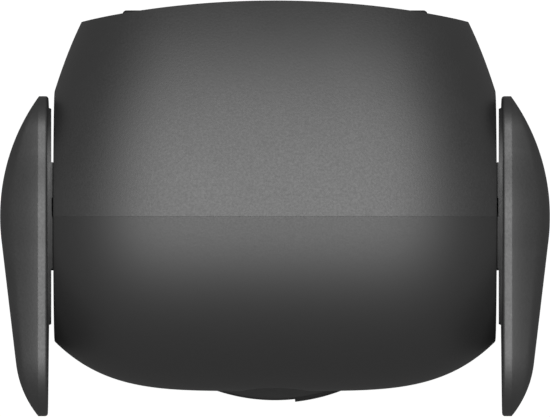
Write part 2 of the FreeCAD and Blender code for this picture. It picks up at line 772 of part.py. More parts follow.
def arm_piece():
    """The flat plate beside the head and the strut that bends under it to the turntable."""
    thickness = Vector(arm_outer_x - arm_inner_x, 0, 0)
    plate = join(*[Part.Face(outline).extrude(thickness) for outline in arm_lobes(0, arm_inner_x)])

    top = turntable_top
    bottom = turntable_top - arm_foot_thickness
    bend_x = turntable_radius
    outer = arm_outer_x - bend_x
    inner = arm_inner_x - bend_x
    low = math.sin(math.radians(45))
    back_y = arm_foot_width / 2
    points = [Vector(arm_foot_inner_x, back_y, bottom), Vector(bend_x, back_y, bottom),
              Vector(bend_x + outer * low, back_y, bottom + outer * (1 - low)),
              Vector(arm_outer_x, back_y, bottom + outer), Vector(arm_inner_x, back_y, bottom + outer),
              Vector(arm_inner_x, back_y, top + inner),
              Vector(bend_x + inner * low, back_y, top + inner * (1 - low)), Vector(bend_x, back_y, top),
              Vector(arm_foot_inner_x, back_y, top)]
    high_outer = Vector(arm_outer_x, back_y, max(points[3].z, points[5].z) + 2)
    high_inner = Vector(arm_inner_x, back_y, high_outer.z)
    edges = [Part.LineSegment(points[0], points[1]), Part.Arc(points[1], points[2], points[3]),
             Part.LineSegment(points[3], high_outer), Part.LineSegment(high_outer, high_inner),
             Part.LineSegment(high_inner, points[5]), Part.Arc(points[5], points[6], points[7]),
             Part.LineSegment(points[7], points[8]), Part.LineSegment(points[8], points[0])]
    profile = Part.Wire([edge.toShape() for edge in edges])
    strut = Part.Face(profile).extrude(Vector(0, -arm_foot_width, 0))

    arm = join(plate, strut)
    arm = arm.cut(rod_x(hub_peg_radius + seat_gap, (arm_inner_x - 1, arm_outer_x + 1), 0, tilt_z))
    for y, z in cover_bosses():
        arm = arm.cut(rod_x(cover_screw_radius + slip_fit, (arm_inner_x - 1, arm_outer_x + 1), y, z))
        arm = arm.cut(rod_x(cover_screw_head_radius + slip_fit,
                            (arm_inner_x - 1, arm_inner_x + cover_screw_head_height + seat_gap), y, z))
    for y in (-arm_screw_spacing / 2, arm_screw_spacing / 2):
        arm = arm.cut(upright(arm_screw_radius - seat_gap, bottom - 1, top - 0.4, arm_screw_x, y))
    return arm


def arm_cover_piece():
    """The domed shell over the outside of an arm."""
    solid = arm_dome(0)
    shell = solid.cut(arm_dome(cover_wall))
    bosses = []
    for y, z in cover_bosses():
        bosses.append(rod_x(cover_boss_radius, (arm_outer_x, far), y, z))
    bosses = bosses[0].multiFuse(bosses[1:]).common(arm_dome(cover_wall / 2))
    shell = shell.fuse(bosses).removeSplitter()
    for y, z in cover_bosses():
        shell = shell.cut(rod_x(cover_screw_radius - seat_gap, (arm_outer_x - 1, arm_outer_x + 1.6), y, z))
    return shell


def cover_screws_right():
    """Screws from the arm plate's inner side into the cover, hidden under the disc."""
    screws = []
    for y, z in cover_bosses():
        head = rod_x(cover_screw_head_radius, (arm_inner_x, arm_inner_x + cover_screw_head_height), y, z)
        shank = rod_x(cover_screw_radius - 2 * seat_gap, (arm_inner_x, arm_outer_x + 1.5), y, z)
        screws.append(join(head, shank))
    return screws


def hub_piece(stub_end):
    """The hollow hub: a ring beside the head, a stub into the bush and a peg through the arm."""
    body = rod_x(hub_radius, (hub_inner_x, arm_inner_x), 0, tilt_z)
    rims = [edge for edge in body.Edges if len(edge.Vertexes) == 1]
    body = body.makeChamfer(hub_chamfer, rims)
    notch = block((hub_inner_x - 1, arm_inner_x - hub_chamfer), (0, hub_notch_width),
                  (tilt_z + hub_radius - hub_notch_depth, tilt_z + hub_radius + 1))
    body = body.cut(notch)
    body = body.fuse(rod_x(hub_stub_radius, (stub_end, hub_inner_x + 0.5), 0, tilt_z))
    body = body.fuse(rod_x(hub_peg_radius, (arm_inner_x - 0.5, arm_outer_x), 0, tilt_z))
    return body.cut(rod_x(hub_bore_radius, (stub_end - 1, arm_outer_x + 1), 0, tilt_z)).removeSplitter()


def disc_piece():
    """The thin disc on the arm's inner face, round the hub ring."""
    disc = rod_x(disc_radius, (disc_inner_x, arm_inner_x), 0, tilt_z)
    return disc.cut(rod_x(hub_radius + seat_gap, (disc_inner_x - 1, arm_inner_x + 1), 0, tilt_z))


def bush_piece():
    """The flanged bush in the head's side that turns on the hub's stub."""
    flange_outer = head_half_width - head_wall - seat_gap
    bush = rod_x(bush_outer_radius, (bush_inner_x, hub_recess_floor - seat_gap), 0, tilt_z)
    bush = bush.fuse(rod_x(bush_flange_radius, (flange_outer - bush_flange_thickness, flange_outer), 0, tilt_z))
    return bush.cut(rod_x(hub_stub_radius + running_fit, (0, far), 0, tilt_z)).removeSplitter()


def cable_piece():
    """The flat cable that leads down the left arm under its cover."""
    x_span = (-arm_outer_x - seat_gap - cable_thickness, -arm_outer_x - seat_gap)
    z_span = (tilt_z + cable_bottom, tilt_z - hub_peg_radius + cable_thickness)
    return block(x_span, (-cable_width / 2, cable_width / 2), z_span)


# Turntable and pan drive
def turntable_piece():
    """The disc that carries both arms, with the hub that hangs through the base's top."""
    disc = upright(turntable_radius, turntable_bottom, turntable_top)
    rims = [edge for edge in disc.Edges if len(edge.Vertexes) == 1 and edge.Vertexes[0].Z > turntable_bottom + 1]
    disc = disc.makeChamfer(0.6, rims)
    hub_bottom = pan_gear_bottom - hub_end_drop
    hub = upright(turntable_hub_radius, pan_gear_top + seat_gap, turntable_bottom + 1)
    spigot = upright(pan_gear_bore, hub_bottom, pan_gear_top + 1)
    body = join(disc, hub, spigot)
    body = body.cut(upright(turntable_bore_radius, hub_bottom - 1, turntable_top - 1.5))
    groove_high = pan_gear_bottom - seat_gap
    groove = ring(pan_gear_bore + 1, pan_gear_bore - retaining_ring_groove,
                  groove_high - retaining_ring_thickness - 2 * seat_gap, groove_high)
    body = body.cut(groove)
    half = arm_foot_width / 2 + seat_gap
    low = turntable_top - arm_foot_thickness - seat_gap
    for side in (-1, 1):
        pocket = block((side * (arm_foot_inner_x - seat_gap), side * far), (-half, half), (low, turntable_top + 1))
        body = body.cut(pocket)
        for y in (-arm_screw_spacing / 2, arm_screw_spacing / 2):
            hole = upright(arm_screw_radius + slip_fit, turntable_bottom - 1, turntable_top + 1, side * arm_screw_x, y)
            sink = upright(arm_screw_head_radius + slip_fit, turntable_bottom - 1,
                           turntable_bottom + arm_screw_head_height + seat_gap, side * arm_screw_x, y)
            body = without(body, hole, sink)
    return body


def arm_screws():
    """Screws from under the turntable into both arm feet."""
    screws = []
    for side in (-1, 1):
        for y in (-arm_screw_spacing / 2, arm_screw_spacing / 2):
            head = upright(arm_screw_head_radius, turntable_bottom, turntable_bottom + arm_screw_head_height,
                           side * arm_screw_x, y)
            shank = upright(arm_screw_radius - 2 * seat_gap, turntable_bottom, turntable_top - 0.5,
                            side * arm_screw_x, y)
            screws.append(join(head, shank))
    return Part.makeCompound(screws)


def pan_drive():
    """Bearing, gear, retaining ring, pinion and motor of the turning drive."""
    bearing = ring(pan_bearing_radius, turntable_hub_radius + running_fit, bearing_bottom, bearing_top)
    flange_top = base_ceiling - seat_gap
    bearing = bearing.fuse(ring(pan_bearing_flange, turntable_hub_radius + running_fit,
                                flange_top - pan_bearing_flange_thickness, flange_top)).removeSplitter()
    wheel = gear(pan_gear_teeth, pan_module, pan_gear_width, pan_gear_bore + seat_gap)
    wheel.rotate(Vector(0, 0, 0), Vector(0, 0, 1), pan_motor_angle)
    wheel.translate(Vector(0, 0, pan_gear_bottom))
    groove_high = pan_gear_bottom - seat_gap
    clip = ring(retaining_ring_outer, pan_gear_bore - retaining_ring_groove + seat_gap,
                groove_high - retaining_ring_thickness - seat_gap, groove_high - seat_gap)
    small = gear(pan_pinion_teeth, pan_module, pan_pinion_width, 0)
    small.rotate(Vector(0, 0, 0), Vector(0, 0, 1), pan_motor_angle + 180 + 180 / pan_pinion_teeth)
    small.translate(Vector(pan_motor_x, pan_motor_y, pan_gear_bottom - (pan_pinion_width - pan_gear_width) / 2))
    shaft = upright(motor_shaft_radius, pan_motor_top - motor_shaft_depth, pan_gear_bottom, pan_motor_x, pan_motor_y)
    motor = upright(pan_motor_radius, plate_thickness + seat_gap, pan_motor_top, pan_motor_x, pan_motor_y)
    motor = motor.cut(upright(motor_shaft_radius + running_fit, pan_motor_top - motor_shaft_depth - seat_gap,
                              pan_motor_top + 1, pan_motor_x, pan_motor_y))
    return bearing, wheel, clip, join(small, shaft), motor


# Base
def base_plan(radius, half_width, reach, corner, low, round_high, block_high):
    """The base's form in plan: a round part with a square block behind."""
    round_part = upright(radius, low, round_high)
    rear = block((-half_width, half_width), (0, reach), (low, block_high))
    corners = [edge for edge in rear.Edges
               if abs(edge.Vertexes[0].Z - edge.Vertexes[1].Z) > 1 and edge.Vertexes[0].Y > 1]
    return round_part, rear.makeFillet(corner, corners)


def front_angle_point(radius, angle, z):
    """A point at an angle from -Y towards +X."""
    turn = math.radians(angle)
    return Vector(radius * math.sin(turn), -radius * math.cos(turn), z)


def front_sector(inner, outer, from_angle, to_angle, low, high):
    """A piece of a ring at the front of the base."""
    whole = ring(outer, inner, low, high)
    side = 2 * outer
    middle = (from_angle + to_angle) / 2
    wedge_points = [Vector(0, 0, low), front_angle_point(side, from_angle, low),
                    front_angle_point(side, middle, low), front_angle_point(side, to_angle, low), Vector(0, 0, low)]
    wedge = Part.Face(Part.makePolygon(wedge_points)).extrude(Vector(0, 0, high - low))
    return whole.common(wedge)


def door_hinge_place():
    """Where the card door's pin stands."""
    middle_radius = base_radius - door_recess - door_thickness / 2
    return front_angle_point(middle_radius, door_from_angle, 0)


def card_door_piece():
    """The curved flap over the card bay, round at its hinged end."""
    outer = base_radius - door_recess
    inner = outer - door_thickness
    free_end = door_to_angle - math.degrees(door_gap / outer)
    low = door_low_z + door_gap
    high = door_high_z - door_gap
    panel = front_sector(inner, outer, door_from_angle, free_end, low, high)
    hinge = door_hinge_place()
    barrel_end = upright(door_thickness / 2, low, high, hinge.x, hinge.y)
    pin = upright(door_pin_radius, low - door_pin_length, high + door_pin_length, hinge.x, hinge.y)
    return join(panel, barrel_end, pin)


def base_shell_piece():
    """The base's casing, open below, with its ports, card bay and screw bosses."""
    outer_round, outer_block = base_plan(base_radius, block_half_width, block_reach, block_corner,
                                         0, base_height, block_height)
    rims = [edge for edge in outer_round.Edges
            if len(edge.Vertexes) == 1 and edge.Vertexes[0].Z > block_height]
    outer_round = outer_round.makeFillet(base_top_fillet, rims)
    inner_round, inner_block = base_plan(base_inner_radius, block_half_width - base_wall, block_inner_reach,
                                         block_corner - 1, -1, base_ceiling, block_ceiling)
    shell = outer_round.fuse(outer_block)
    shell = without(shell, inner_round, inner_block)
    bosses = []
    for x, y in base_screw_places:
        ceiling = base_ceiling if math.hypot(x, y) < base_inner_radius else block_ceiling
        bosses.append(upright(base_boss_radius, plate_thickness, ceiling + 0.5, x, y))
    shell = shell.fuse(bosses).removeSplitter()
    shell = shell.cut(upright(pan_bearing_radius + seat_gap, base_ceiling - 1, base_height + 1))
    for x, y in base_screw_places:
        shell = shell.cut(upright(base_screw_radius - seat_gap, 0, base_screw_length + 1, x, y))

    recess = front_sector(base_radius - door_recess - door_thickness - 2 * door_gap, base_radius + 2,
                          door_from_angle, door_to_angle, door_low_z, door_high_z)
    hinge = door_hinge_place()
    round_end = upright(door_thickness / 2 + door_gap, door_low_z, door_high_z, hinge.x, hinge.y)
    outside = front_sector(base_radius - door_recess - door_thickness / 2, base_radius + 2,
                           door_from_angle - math.degrees((door_thickness / 2 + door_gap) / base_radius),
                           door_from_angle, door_low_z, door_high_z)
    pin_hole = upright(door_pin_radius + running_fit, door_low_z - door_pin_length, door_high_z + door_pin_length,
                       hinge.x, hinge.y)
    bay = block((card_x - bay_half_width, card_x + bay_half_width), (-far, -base_inner_radius * 0.7),
                (bay_low_z, bay_high_z))
    step = front_sector(base_radius - door_recess, base_radius + 2, door_from_angle, door_to_angle,
                        door_high_z - 1, base_height + 1)
    shell = without(shell, recess, round_end, outside, pin_hole, bay, step)

    hole = slip_fit
    network = block((network_socket_x - network_socket_half_width - hole,
                     network_socket_x + network_socket_half_width + hole), (block_inner_reach - 1, far),
                    (board_top - hole, board_top + network_socket_height + hole))
    power = block((power_socket_x - power_socket_half_width - hole, power_socket_x + power_socket_half_width + hole),
                  (block_inner_reach - 1, far), (board_top - hole, board_top + power_socket_height + hole))
    reset = rod_y(reset_button_radius + moving_gap, (block_inner_reach - 1, far), reset_x, reset_z)
    return without(shell, network, power, reset)


def base_plate_piece():
    """The plate that closes the base below, with posts for the boards and the tripod boss."""
    edge = slip_fit
    plan_round, plan_block = base_plan(base_inner_radius - edge, block_half_width - base_wall - edge,
                                       block_inner_reach - edge, block_corner - 1, 0, plate_thickness,
                                       plate_thickness)
    plate = plan_round.fuse(plan_block)
    posts = [upright(plate_boss_radius, plate_thickness - 1, plate_boss_height)]
    inset = 2.5
    for x in (main_board_x[0] + inset, 3.0):
        for y in (main_board_y[0] + inset, main_board_y[1] - inset):
            posts.append(upright(standoff_radius, plate_thickness - 1, main_board_z, x, y))
    for x in (card_x - card_board_half_width + 2, card_x + card_board_half_width - 2):
        for y in (card_front_y + 4.5, card_front_y + card_board_length - 1):
            posts.append(upright(standoff_radius, plate_thickness - 1, card_board_z, x, y))
    plate = plate.fuse(posts).removeSplitter()
    for x, y in base_screw_places:
        plate = plate.cut(upright(base_screw_radius + slip_fit, -1, plate_thickness + 1, x, y))
        plate = plate.cut(upright(base_screw_head_radius + slip_fit, -1, base_screw_head_height + seat_gap, x, y))
    for x, y in foot_places:
        plate = plate.cut(upright(foot_radius + seat_gap, -1, foot_recess, x, y))
    plate = plate.cut(upright(tripod_insert_radius + seat_gap / 2, -1, tripod_insert_length))
    for x, y in grille_places():
        plate = plate.cut(upright(grille_hole_radius, -1, plate_thickness + 1, x, y))
    return plate


def grille_places():
    """The speaker's holes, in rings of six, twelve and so on round one in the middle."""
    places = [(speaker_x, speaker_y)]
    for row in (1, 2):
        for number in range(6 * row):
            angle = 2 * math.pi * number / (6 * row)
            places.append((speaker_x + row * grille_pitch * math.cos(angle),
                           speaker_y + row * grille_pitch * math.sin(angle)))
    return places


def base_small_pieces():
    """Feet, screws, insert, weight, boards and sockets inside the base."""
    pieces = {}
    feet = [upright(foot_radius, -foot_stand, foot_recess, x, y) for x, y in foot_places]
    pieces["rubber_feet"] = Part.makeCompound(feet)
    screws = []
    for x, y in base_screw_places:
        head = upright(base_screw_head_radius, 0, base_screw_head_height, x, y)
        shank = upright(base_screw_radius - 2 * seat_gap, 0, base_screw_length, x, y)
        screws.append(join(head, shank))
    pieces["base_screws"] = Part.makeCompound(screws)
    pieces["tripod_insert"] = ring(tripod_insert_radius, tripod_thread_radius, 0, tripod_insert_length - seat_gap)

    low = plate_thickness + seat_gap
    high = low + weight_thickness
    weight = ring(weight_outer_radius, weight_inner_radius, low, high)
    weight = weight.cut(block((-far, far), (weight_rear_y, far), (low - 1, high + 1)))
    weight = weight.cut(upright(pan_motor_radius + 1, low - 1, high + 1, pan_motor_x, pan_motor_y))
    weight = weight.cut(upright(speaker_radius + speaker_lip + 0.5, low - 1, high + 1, speaker_x, speaker_y))
    for x in (card_x - card_board_half_width + 2, card_x + card_board_half_width - 2):
        for y in (card_front_y + 4.5, card_front_y + card_board_length - 1):
            weight = weight.cut(upright(standoff_radius + 0.5, low - 1, high + 1, x, y))
    pieces["base_weight"] = max(weight.Solids, key=lambda solid: solid.Volume)

    main_board = block(main_board_x, main_board_y, (main_board_z, board_top))
    pieces["main_board"] = main_board.cut(upright(pan_motor_radius + main_board_motor_gap, 0, base_height,
                                                  pan_motor_x, pan_motor_y))
    sink = network_socket_half_width
    x = network_socket_x
    socket = block((x - sink, x + sink), (block_reach - network_socket_depth, block_reach),
                   (board_top, board_top + network_socket_height))
    mouth_low = board_top + 2.4
    socket = socket.cut(block((x - network_mouth_half_width, x + network_mouth_half_width),
                              (block_reach - network_socket_depth + socket_shell, block_reach + 1),
                              (mouth_low, mouth_low + network_mouth_height)))
    pieces["network_socket"] = socket
    x = power_socket_x
    half = power_socket_half_width
    power = block((x - half, x + half), (block_reach - power_socket_depth, block_reach),
                  (board_top, board_top + power_socket_height))
    power = power.makeFillet(1.2, [edge for edge in power.Edges
                                   if abs(edge.Vertexes[0].Y - edge.Vertexes[1].Y) > 1])
    wall = card_socket_wall
    mouth = block((x - half + wall, x + half - wall), (block_reach - power_socket_depth + 1, block_reach + 1),
                  (board_top + wall, board_top + power_socket_height - wall))
    middle = board_top + power_socket_height / 2
    tongue = block((x - half + 1.5, x + half - 1.5), (block_reach - power_socket_depth + 0.5, block_reach - 1),
                   (middle - power_tongue_thickness / 2, middle + power_tongue_thickness / 2))
    pieces["power_socket"] = power.cut(mouth).fuse(tongue).removeSplitter()

    half = reset_switch_size / 2
    button_inner_y = block_inner_reach - seat_gap - reset_collar_thickness
    switch_front = button_inner_y - reset_travel - slip_fit
    switch = block((reset_x - half, reset_x + half), (switch_front - reset_switch_depth, switch_front),
                   (board_top, reset_z + half))
    pieces["reset_switch"] = switch
    button = rod_y(reset_button_radius, (button_inner_y, block_reach + reset_stand), reset_x, reset_z)
    collar = rod_y(reset_collar_radius, (button_inner_y, button_inner_y + reset_collar_thickness), reset_x, reset_z)
    pieces["reset_button"] = join(button, collar)

    cup = upright(speaker_radius, plate_thickness + seat_gap, plate_thickness + speaker_height, speaker_x, speaker_y)
    flange = upright(speaker_radius + speaker_lip, plate_thickness + seat_gap, plate_thickness + 1.2,
                     speaker_x, speaker_y)
    speaker = join(cup, flange)
    cone = Part.makeCone(speaker_radius - 1.5, 3.0, speaker_height - 2, Vector(speaker_x, speaker_y, plate_thickness))
    pieces["speaker"] = speaker.cut(cone)
    return pieces


def card_pieces():
    """The card, its socket and the small board under it."""
    pieces = {}
    half = card_board_half_width
    board_front_y = card_front_y + 2.4
    pieces["card_board"] = block((card_x - half, card_x + half), (board_front_y, board_front_y + card_board_length),
                                 (card_board_z, card_board_top))
    half = card_socket_half_width
    front_y = card_front_y + 2.6
    wall = card_socket_wall
    low = card_board_top
    high = card_z + card_thickness + seat_gap + wall
    socket = block((card_x - half, card_x + half), (front_y, front_y + card_socket_length), (low, high))
    slot = block((card_x - card_width / 2 - slip_fit, card_x + card_width / 2 + slip_fit),
                 (front_y - 1, card_front_y + card_length + card_press + slip_fit),
                 (card_z - seat_gap, card_z + card_thickness + seat_gap))
    pieces["card_socket"] = socket.cut(slot)
    pieces["memory_card"] = block((card_x - card_width / 2, card_x + card_width / 2),
                                  (card_front_y, card_front_y + card_length), (card_z, card_z + card_thickness))
    return pieces


def frame_screws():
    """Screws that hold the head's frame to the front shell's posts."""
    screws = []
    for x, z in frame_posts():
        head = rod_y(frame_screw_head_radius, (frame_back, frame_back + frame_screw_head_height), x, z)
        shank = rod_y(frame_screw_radius - 2 * seat_gap,
                      (frame_front - frame_screw_length + slip_fit, frame_back + 0.5), x, z)
        screws.append(join(head, shank))
    return Part.makeCompound(screws)


def main():
    """Build every piece and write its file."""
    os.makedirs("parts", exist_ok=True)

    front, rear, panel = head_shells()
    export("front_shell", front)
    export("rear_shell", rear)
    export("rear_panel", panel)
    for name, piece in lens_pieces().items():
        export(name, piece)
    for name, piece in infrared_pieces().items():
        export(name, piece)
    export("head_frame", head_frame_piece())
    export("frame_screws", frame_screws())
    board, sink = head_electronics()
    export("head_board", board)
    export("heat_sink", sink)
    motor, wheel, pinion = tilt_drive()
    export("tilt_motor", motor)
    export("tilt_gear", wheel)
    export("tilt_pinion", pinion)

    arm = arm_piece()
    cover = arm_cover_piece()
    disc = disc_piece()
    bush = bush_piece()
    for name, piece in (("arm", arm), ("arm_cover", cover), ("arm_disc", disc), ("bush", bush)):
        export("right_" + name, piece)
        export("left_" + name, on_left(piece))
    export("right_hub", hub_piece(bush_inner_x))
    export("left_hub", on_left(hub_piece(tilt_gear_inner_x)))
    screws = cover_screws_right()
    export("cover_screws", Part.makeCompound(screws + [on_left(screw) for screw in screws]))
    export("arm_cable", cable_piece())

    export("turntable", turntable_piece())
    export("arm_screws", arm_screws())
    bearing, wheel, clip, pinion, motor = pan_drive()
    export("pan_bearing", bearing)
    export("pan_gear", wheel)
    export("retaining_ring", clip)
    export("pan_pinion", pinion)
    export("pan_motor", motor)

    export("base_shell", base_shell_piece())
    export("base_plate", base_plate_piece())
    export("card_door", card_door_piece())
    for name, piece in base_small_pieces().items():
        export(name, piece)
    for name, piece in card_pieces().items():
        export(name, piece)


main()
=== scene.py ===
"""Looks of an indoor security camera: a tilting head between two domed arms, on a turning base.

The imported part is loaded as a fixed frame. Classes for the head, the arms and the base build the
shapes that show, and give a finish to every piece and to every node of the part that stays.
"""

import json
import logging
import math
from contextlib import contextmanager
from dataclasses import dataclass, field
from enum import Enum
from typing import Any, Iterator, Sequence

import bmesh
import bpy
import numpy as np
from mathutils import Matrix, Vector


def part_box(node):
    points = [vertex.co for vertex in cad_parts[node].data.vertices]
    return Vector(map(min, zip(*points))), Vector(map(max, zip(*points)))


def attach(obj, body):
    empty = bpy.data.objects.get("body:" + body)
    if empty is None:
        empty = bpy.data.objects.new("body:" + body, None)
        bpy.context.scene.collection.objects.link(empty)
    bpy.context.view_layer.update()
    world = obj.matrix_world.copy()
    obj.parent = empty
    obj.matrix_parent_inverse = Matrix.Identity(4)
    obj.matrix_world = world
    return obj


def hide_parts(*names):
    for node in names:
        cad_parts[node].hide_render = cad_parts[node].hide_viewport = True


MM = 0.001
PHOTO_SIZE = (550, 417)
PHOTO_AXIS_ROW = 216.4
PHOTO_MM_PER_PIXEL = 0.2
SHARP_ANGLE = math.radians(32.0)
MERGE_DISTANCE = 1e-6
QUARTER = math.pi / 2
# Cutters end this far out, beyond every piece
FAR = 60.0

Pair = tuple[float, float]
Triple = tuple[float, float, float]
Quad = tuple[float, float, float, float]
Mesh = bpy.types.Mesh
Socket = bpy.types.NodeSocket

logging.basicConfig(level=logging.INFO, format="%(name)s: %(message)s")
log = logging.getLogger("camera")
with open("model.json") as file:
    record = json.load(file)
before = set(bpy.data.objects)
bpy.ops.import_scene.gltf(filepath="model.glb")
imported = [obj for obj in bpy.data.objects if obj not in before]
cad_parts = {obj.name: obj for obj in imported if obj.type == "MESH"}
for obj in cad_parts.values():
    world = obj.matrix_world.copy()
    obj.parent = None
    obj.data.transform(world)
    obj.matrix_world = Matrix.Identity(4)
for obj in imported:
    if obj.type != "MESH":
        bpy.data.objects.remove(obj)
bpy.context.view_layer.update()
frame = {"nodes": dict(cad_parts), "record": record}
joints = {joint["name"]: joint for joint in frame["record"]["behaviour"]["joints"]}
TILT_Z = joints["tilt"]["pos_m"][2] / MM
TILT_AXIS = (0, 0, TILT_Z)


class Side(Enum):
    """The two arms, by the sign of their X."""

    LEFT = -1
    RIGHT = 1

    def span(self, first: float, last: float) -> Pair:
        """Two distances from the middle as a span on this side, the lower one first."""
        low, high = sorted((self.value * first, self.value * last))
        return low, high


class Axis(Enum):
    """The axis that a piece is turned or thick along, as the order in which its coordinates are laid out."""

    X = (2, 0, 1)
    Y = (0, 2, 1)
    Z = (0, 1, 2)

    def lay(self, points: np.ndarray, along: float) -> np.ndarray:
        """Puts flat points at one place along the axis."""
        return np.column_stack([points, np.full(len(points), along)])[:, list(self.value)]


class Work(Enum):
    """What a tool does to the mesh that it is used on."""

    JOIN = "UNION"
    CUT = "DIFFERENCE"
    KEEP = "INTERSECT"


# Nodes


def put(node: bpy.types.Node, inputs: dict[Any, Any]) -> None:
    """Gives a node's inputs their values and links.

    Args:
        node: the node.
        inputs: for each input, by name or number, a value, an output, a node that stands for its first
            output, or a list of nodes that all go into the input.
    """
    for key, value in inputs.items():
        for source in value if isinstance(value, list) else [value]:
            source = source.outputs[0] if isinstance(source, bpy.types.Node) else source
            if isinstance(source, Socket):
                node.id_data.links.new(source, node.inputs[key])
            else:
                node.inputs[key].default_value = source


def add(tree: bpy.types.NodeTree, kind: str, inputs: dict[Any, Any] | None = None,
        **settings: Any) -> bpy.types.Node:
    """Adds a node with its settings, its values and its links.

    Args:
        tree: the node tree.
        kind: the node's type name.
        inputs: values and links for the node's inputs, as put takes them.
        settings: properties of the node.

    Returns:
        The new node.
    """
    node = tree.nodes.new(kind)
    for key, value in settings.items():
        setattr(node, key, value)
    put(node, inputs or {})
    return node


# Finishes


def linear(colour: str) -> Quad:
    """An sRGB colour, written as #rrggbb, in linear light with its alpha."""
    parts = [int(colour[start:start + 2], 16) / 255 for start in (1, 3, 5)]
    light = [part / 12.92 if part <= 0.04045 else ((part + 0.055) / 1.055) ** 2.4 for part in parts]
    return light[0], light[1], light[2], 1.0


@dataclass(frozen=True)
class Finish:
    """What all finishes share: a name, the record's slot for pieces that have it, and one node material."""

    name: str
    slot: str = field(default="", kw_only=True)

    def material(self) -> bpy.types.Material:
        """The finish as a node material, made once."""
        made = bpy.data.materials.get(self.name)
        if made is None:
            made = bpy.data.materials.new(self.name)
            made.use_nodes = True
            tree = made.node_tree
            place = add(tree, "ShaderNodeTexCoord").outputs["Object"]
            put(tree.nodes["Principled BSDF"], self.look(tree, place))
        return made

    def look(self, tree: bpy.types.NodeTree, place: Socket) -> dict[str, Any]:
        """Lays out the finish's patterns.

        Args:
            tree: the material's node tree.
            place: the place on the piece, which every pattern follows.

        Returns:
            A value or a node for each of the shader's inputs that the finish sets.
        """
        raise NotImplementedError


@dataclass(frozen=True)
class Moulded(Finish):
    """A moulded plastic or rubber skin with the fine grain of a spark-eroded tool."""

    colour: str
    roughness: float
    grain: float = 0.30
    depth: float = 0.010
    tone: float = 0.10
    edge: float = 0.25
    specular: float = 0.5

    def look(self, tree: bpy.types.NodeTree, place: Socket) -> dict[str, Any]:
        """Grain in the height and the sheen, a broad cloud in the tone, and edges that catch the light."""
        fine = add(tree, "ShaderNodeTexNoise", {"Vector": place, "Scale": 1 / (self.grain * MM),
                                                "Detail": 2.0, "Roughness": 0.6}).outputs["Fac"]
        broad = add(tree, "ShaderNodeTexNoise", {"Vector": place, "Scale": 1 / (9 * MM), "Detail": 3.0})
        mixed = add(tree, "ShaderNodeMath", {0: fine, 1: 0.75, 2: broad.outputs["Fac"]},
                    operation="MULTIPLY_ADD")
        level = add(tree, "ShaderNodeMapRange", {"Value": mixed, "From Min": 0.55, "From Max": 1.2,
                                                 "To Min": 1 - self.tone, "To Max": 1 + self.tone})
        rough = add(tree, "ShaderNodeMapRange", {"Value": fine, "From Min": 0.3, "From Max": 0.7,
                                                 "To Min": self.roughness - 0.04,
                                                 "To Max": self.roughness + 0.04})
        rounded = add(tree, "ShaderNodeBevel", {"Radius": self.edge * MM}, samples=4)
        return {
            "Base Color": add(tree, "ShaderNodeVectorMath", {0: linear(self.colour)[:3], "Scale": level},
                              operation="SCALE"),
            "Roughness": rough, "IOR": 1.53, "Specular IOR Level": self.specular,
            "Normal": add(tree, "ShaderNodeBump", {"Height": fine, "Distance": self.depth * MM,
                                                   "Strength": 1.0, "Normal": rounded})}


@dataclass(frozen=True)
class Worked(Finish):
    """A metal with the fine circular marks of turning, drawing or plating."""

    colour: str
    roughness: float
    pitch: float = 0.15
    depth: float = 0.004

    def look(self, tree: bpy.types.NodeTree, place: Socket) -> dict[str, Any]:
        """Fine rings in the height and the sheen, and a faint cloud in the tone."""
        marks = add(tree, "ShaderNodeTexWave", {"Vector": place, "Scale": 1 / (self.pitch * MM * 20),
                                                "Distortion": 1.5, "Detail": 2.0},
                    wave_type="RINGS", rings_direction="Z").outputs["Fac"]
        cloud = add(tree, "ShaderNodeTexNoise", {"Vector": place, "Scale": 1 / (2.5 * MM), "Detail": 4.0})
        level = add(tree, "ShaderNodeMapRange", {"Value": cloud.outputs["Fac"], "From Min": 0.3,
                                                 "From Max": 0.7, "To Min": 0.9, "To Max": 1.05})
        rough = add(tree, "ShaderNodeMapRange", {"Value": marks, "From Min": 0.0, "From Max": 1.0,
                                                 "To Min": self.roughness - 0.05,
                                                 "To Max": self.roughness + 0.05})
        return {
            "Base Color": add(tree, "ShaderNodeVectorMath", {0: linear(self.colour)[:3], "Scale": level},
                              operation="SCALE"),
            "Roughness": rough, "Metallic": 1.0,
            "Normal": add(tree, "ShaderNodeBump", {"Height": marks, "Distance": self.depth * MM})}


@dataclass(frozen=True)
class Laminate(Finish):
    """A glass-fibre circuit board under solder mask, with copper tracks that stand out a little."""

    mask: str
    track: str

    def look(self, tree: bpy.types.NodeTree, place: Socket) -> dict[str, Any]:
        """Square-cornered cells as tracks, in a lighter green than the mask."""
        cells = add(tree, "ShaderNodeTexVoronoi", {"Vector": place, "Scale": 1 / (1.6 * MM)},
                    distance="MANHATTAN", feature="F1")
        edge = add(tree, "ShaderNodeMapRange", {"Value": cells.outputs["Distance"], "From Min": 0.42,
                                                "From Max": 0.46, "To Min": 0.0, "To Max": 1.0})
        paint = add(tree, "ShaderNodeMix", {"Factor": edge, "A": linear(self.mask), "B": linear(self.track)},
                    data_type="RGBA")
        return {"Base Color": paint.outputs[2], "Roughness": 0.35,
                "Normal": add(tree, "ShaderNodeBump", {"Height": edge, "Distance": 0.03 * MM})}


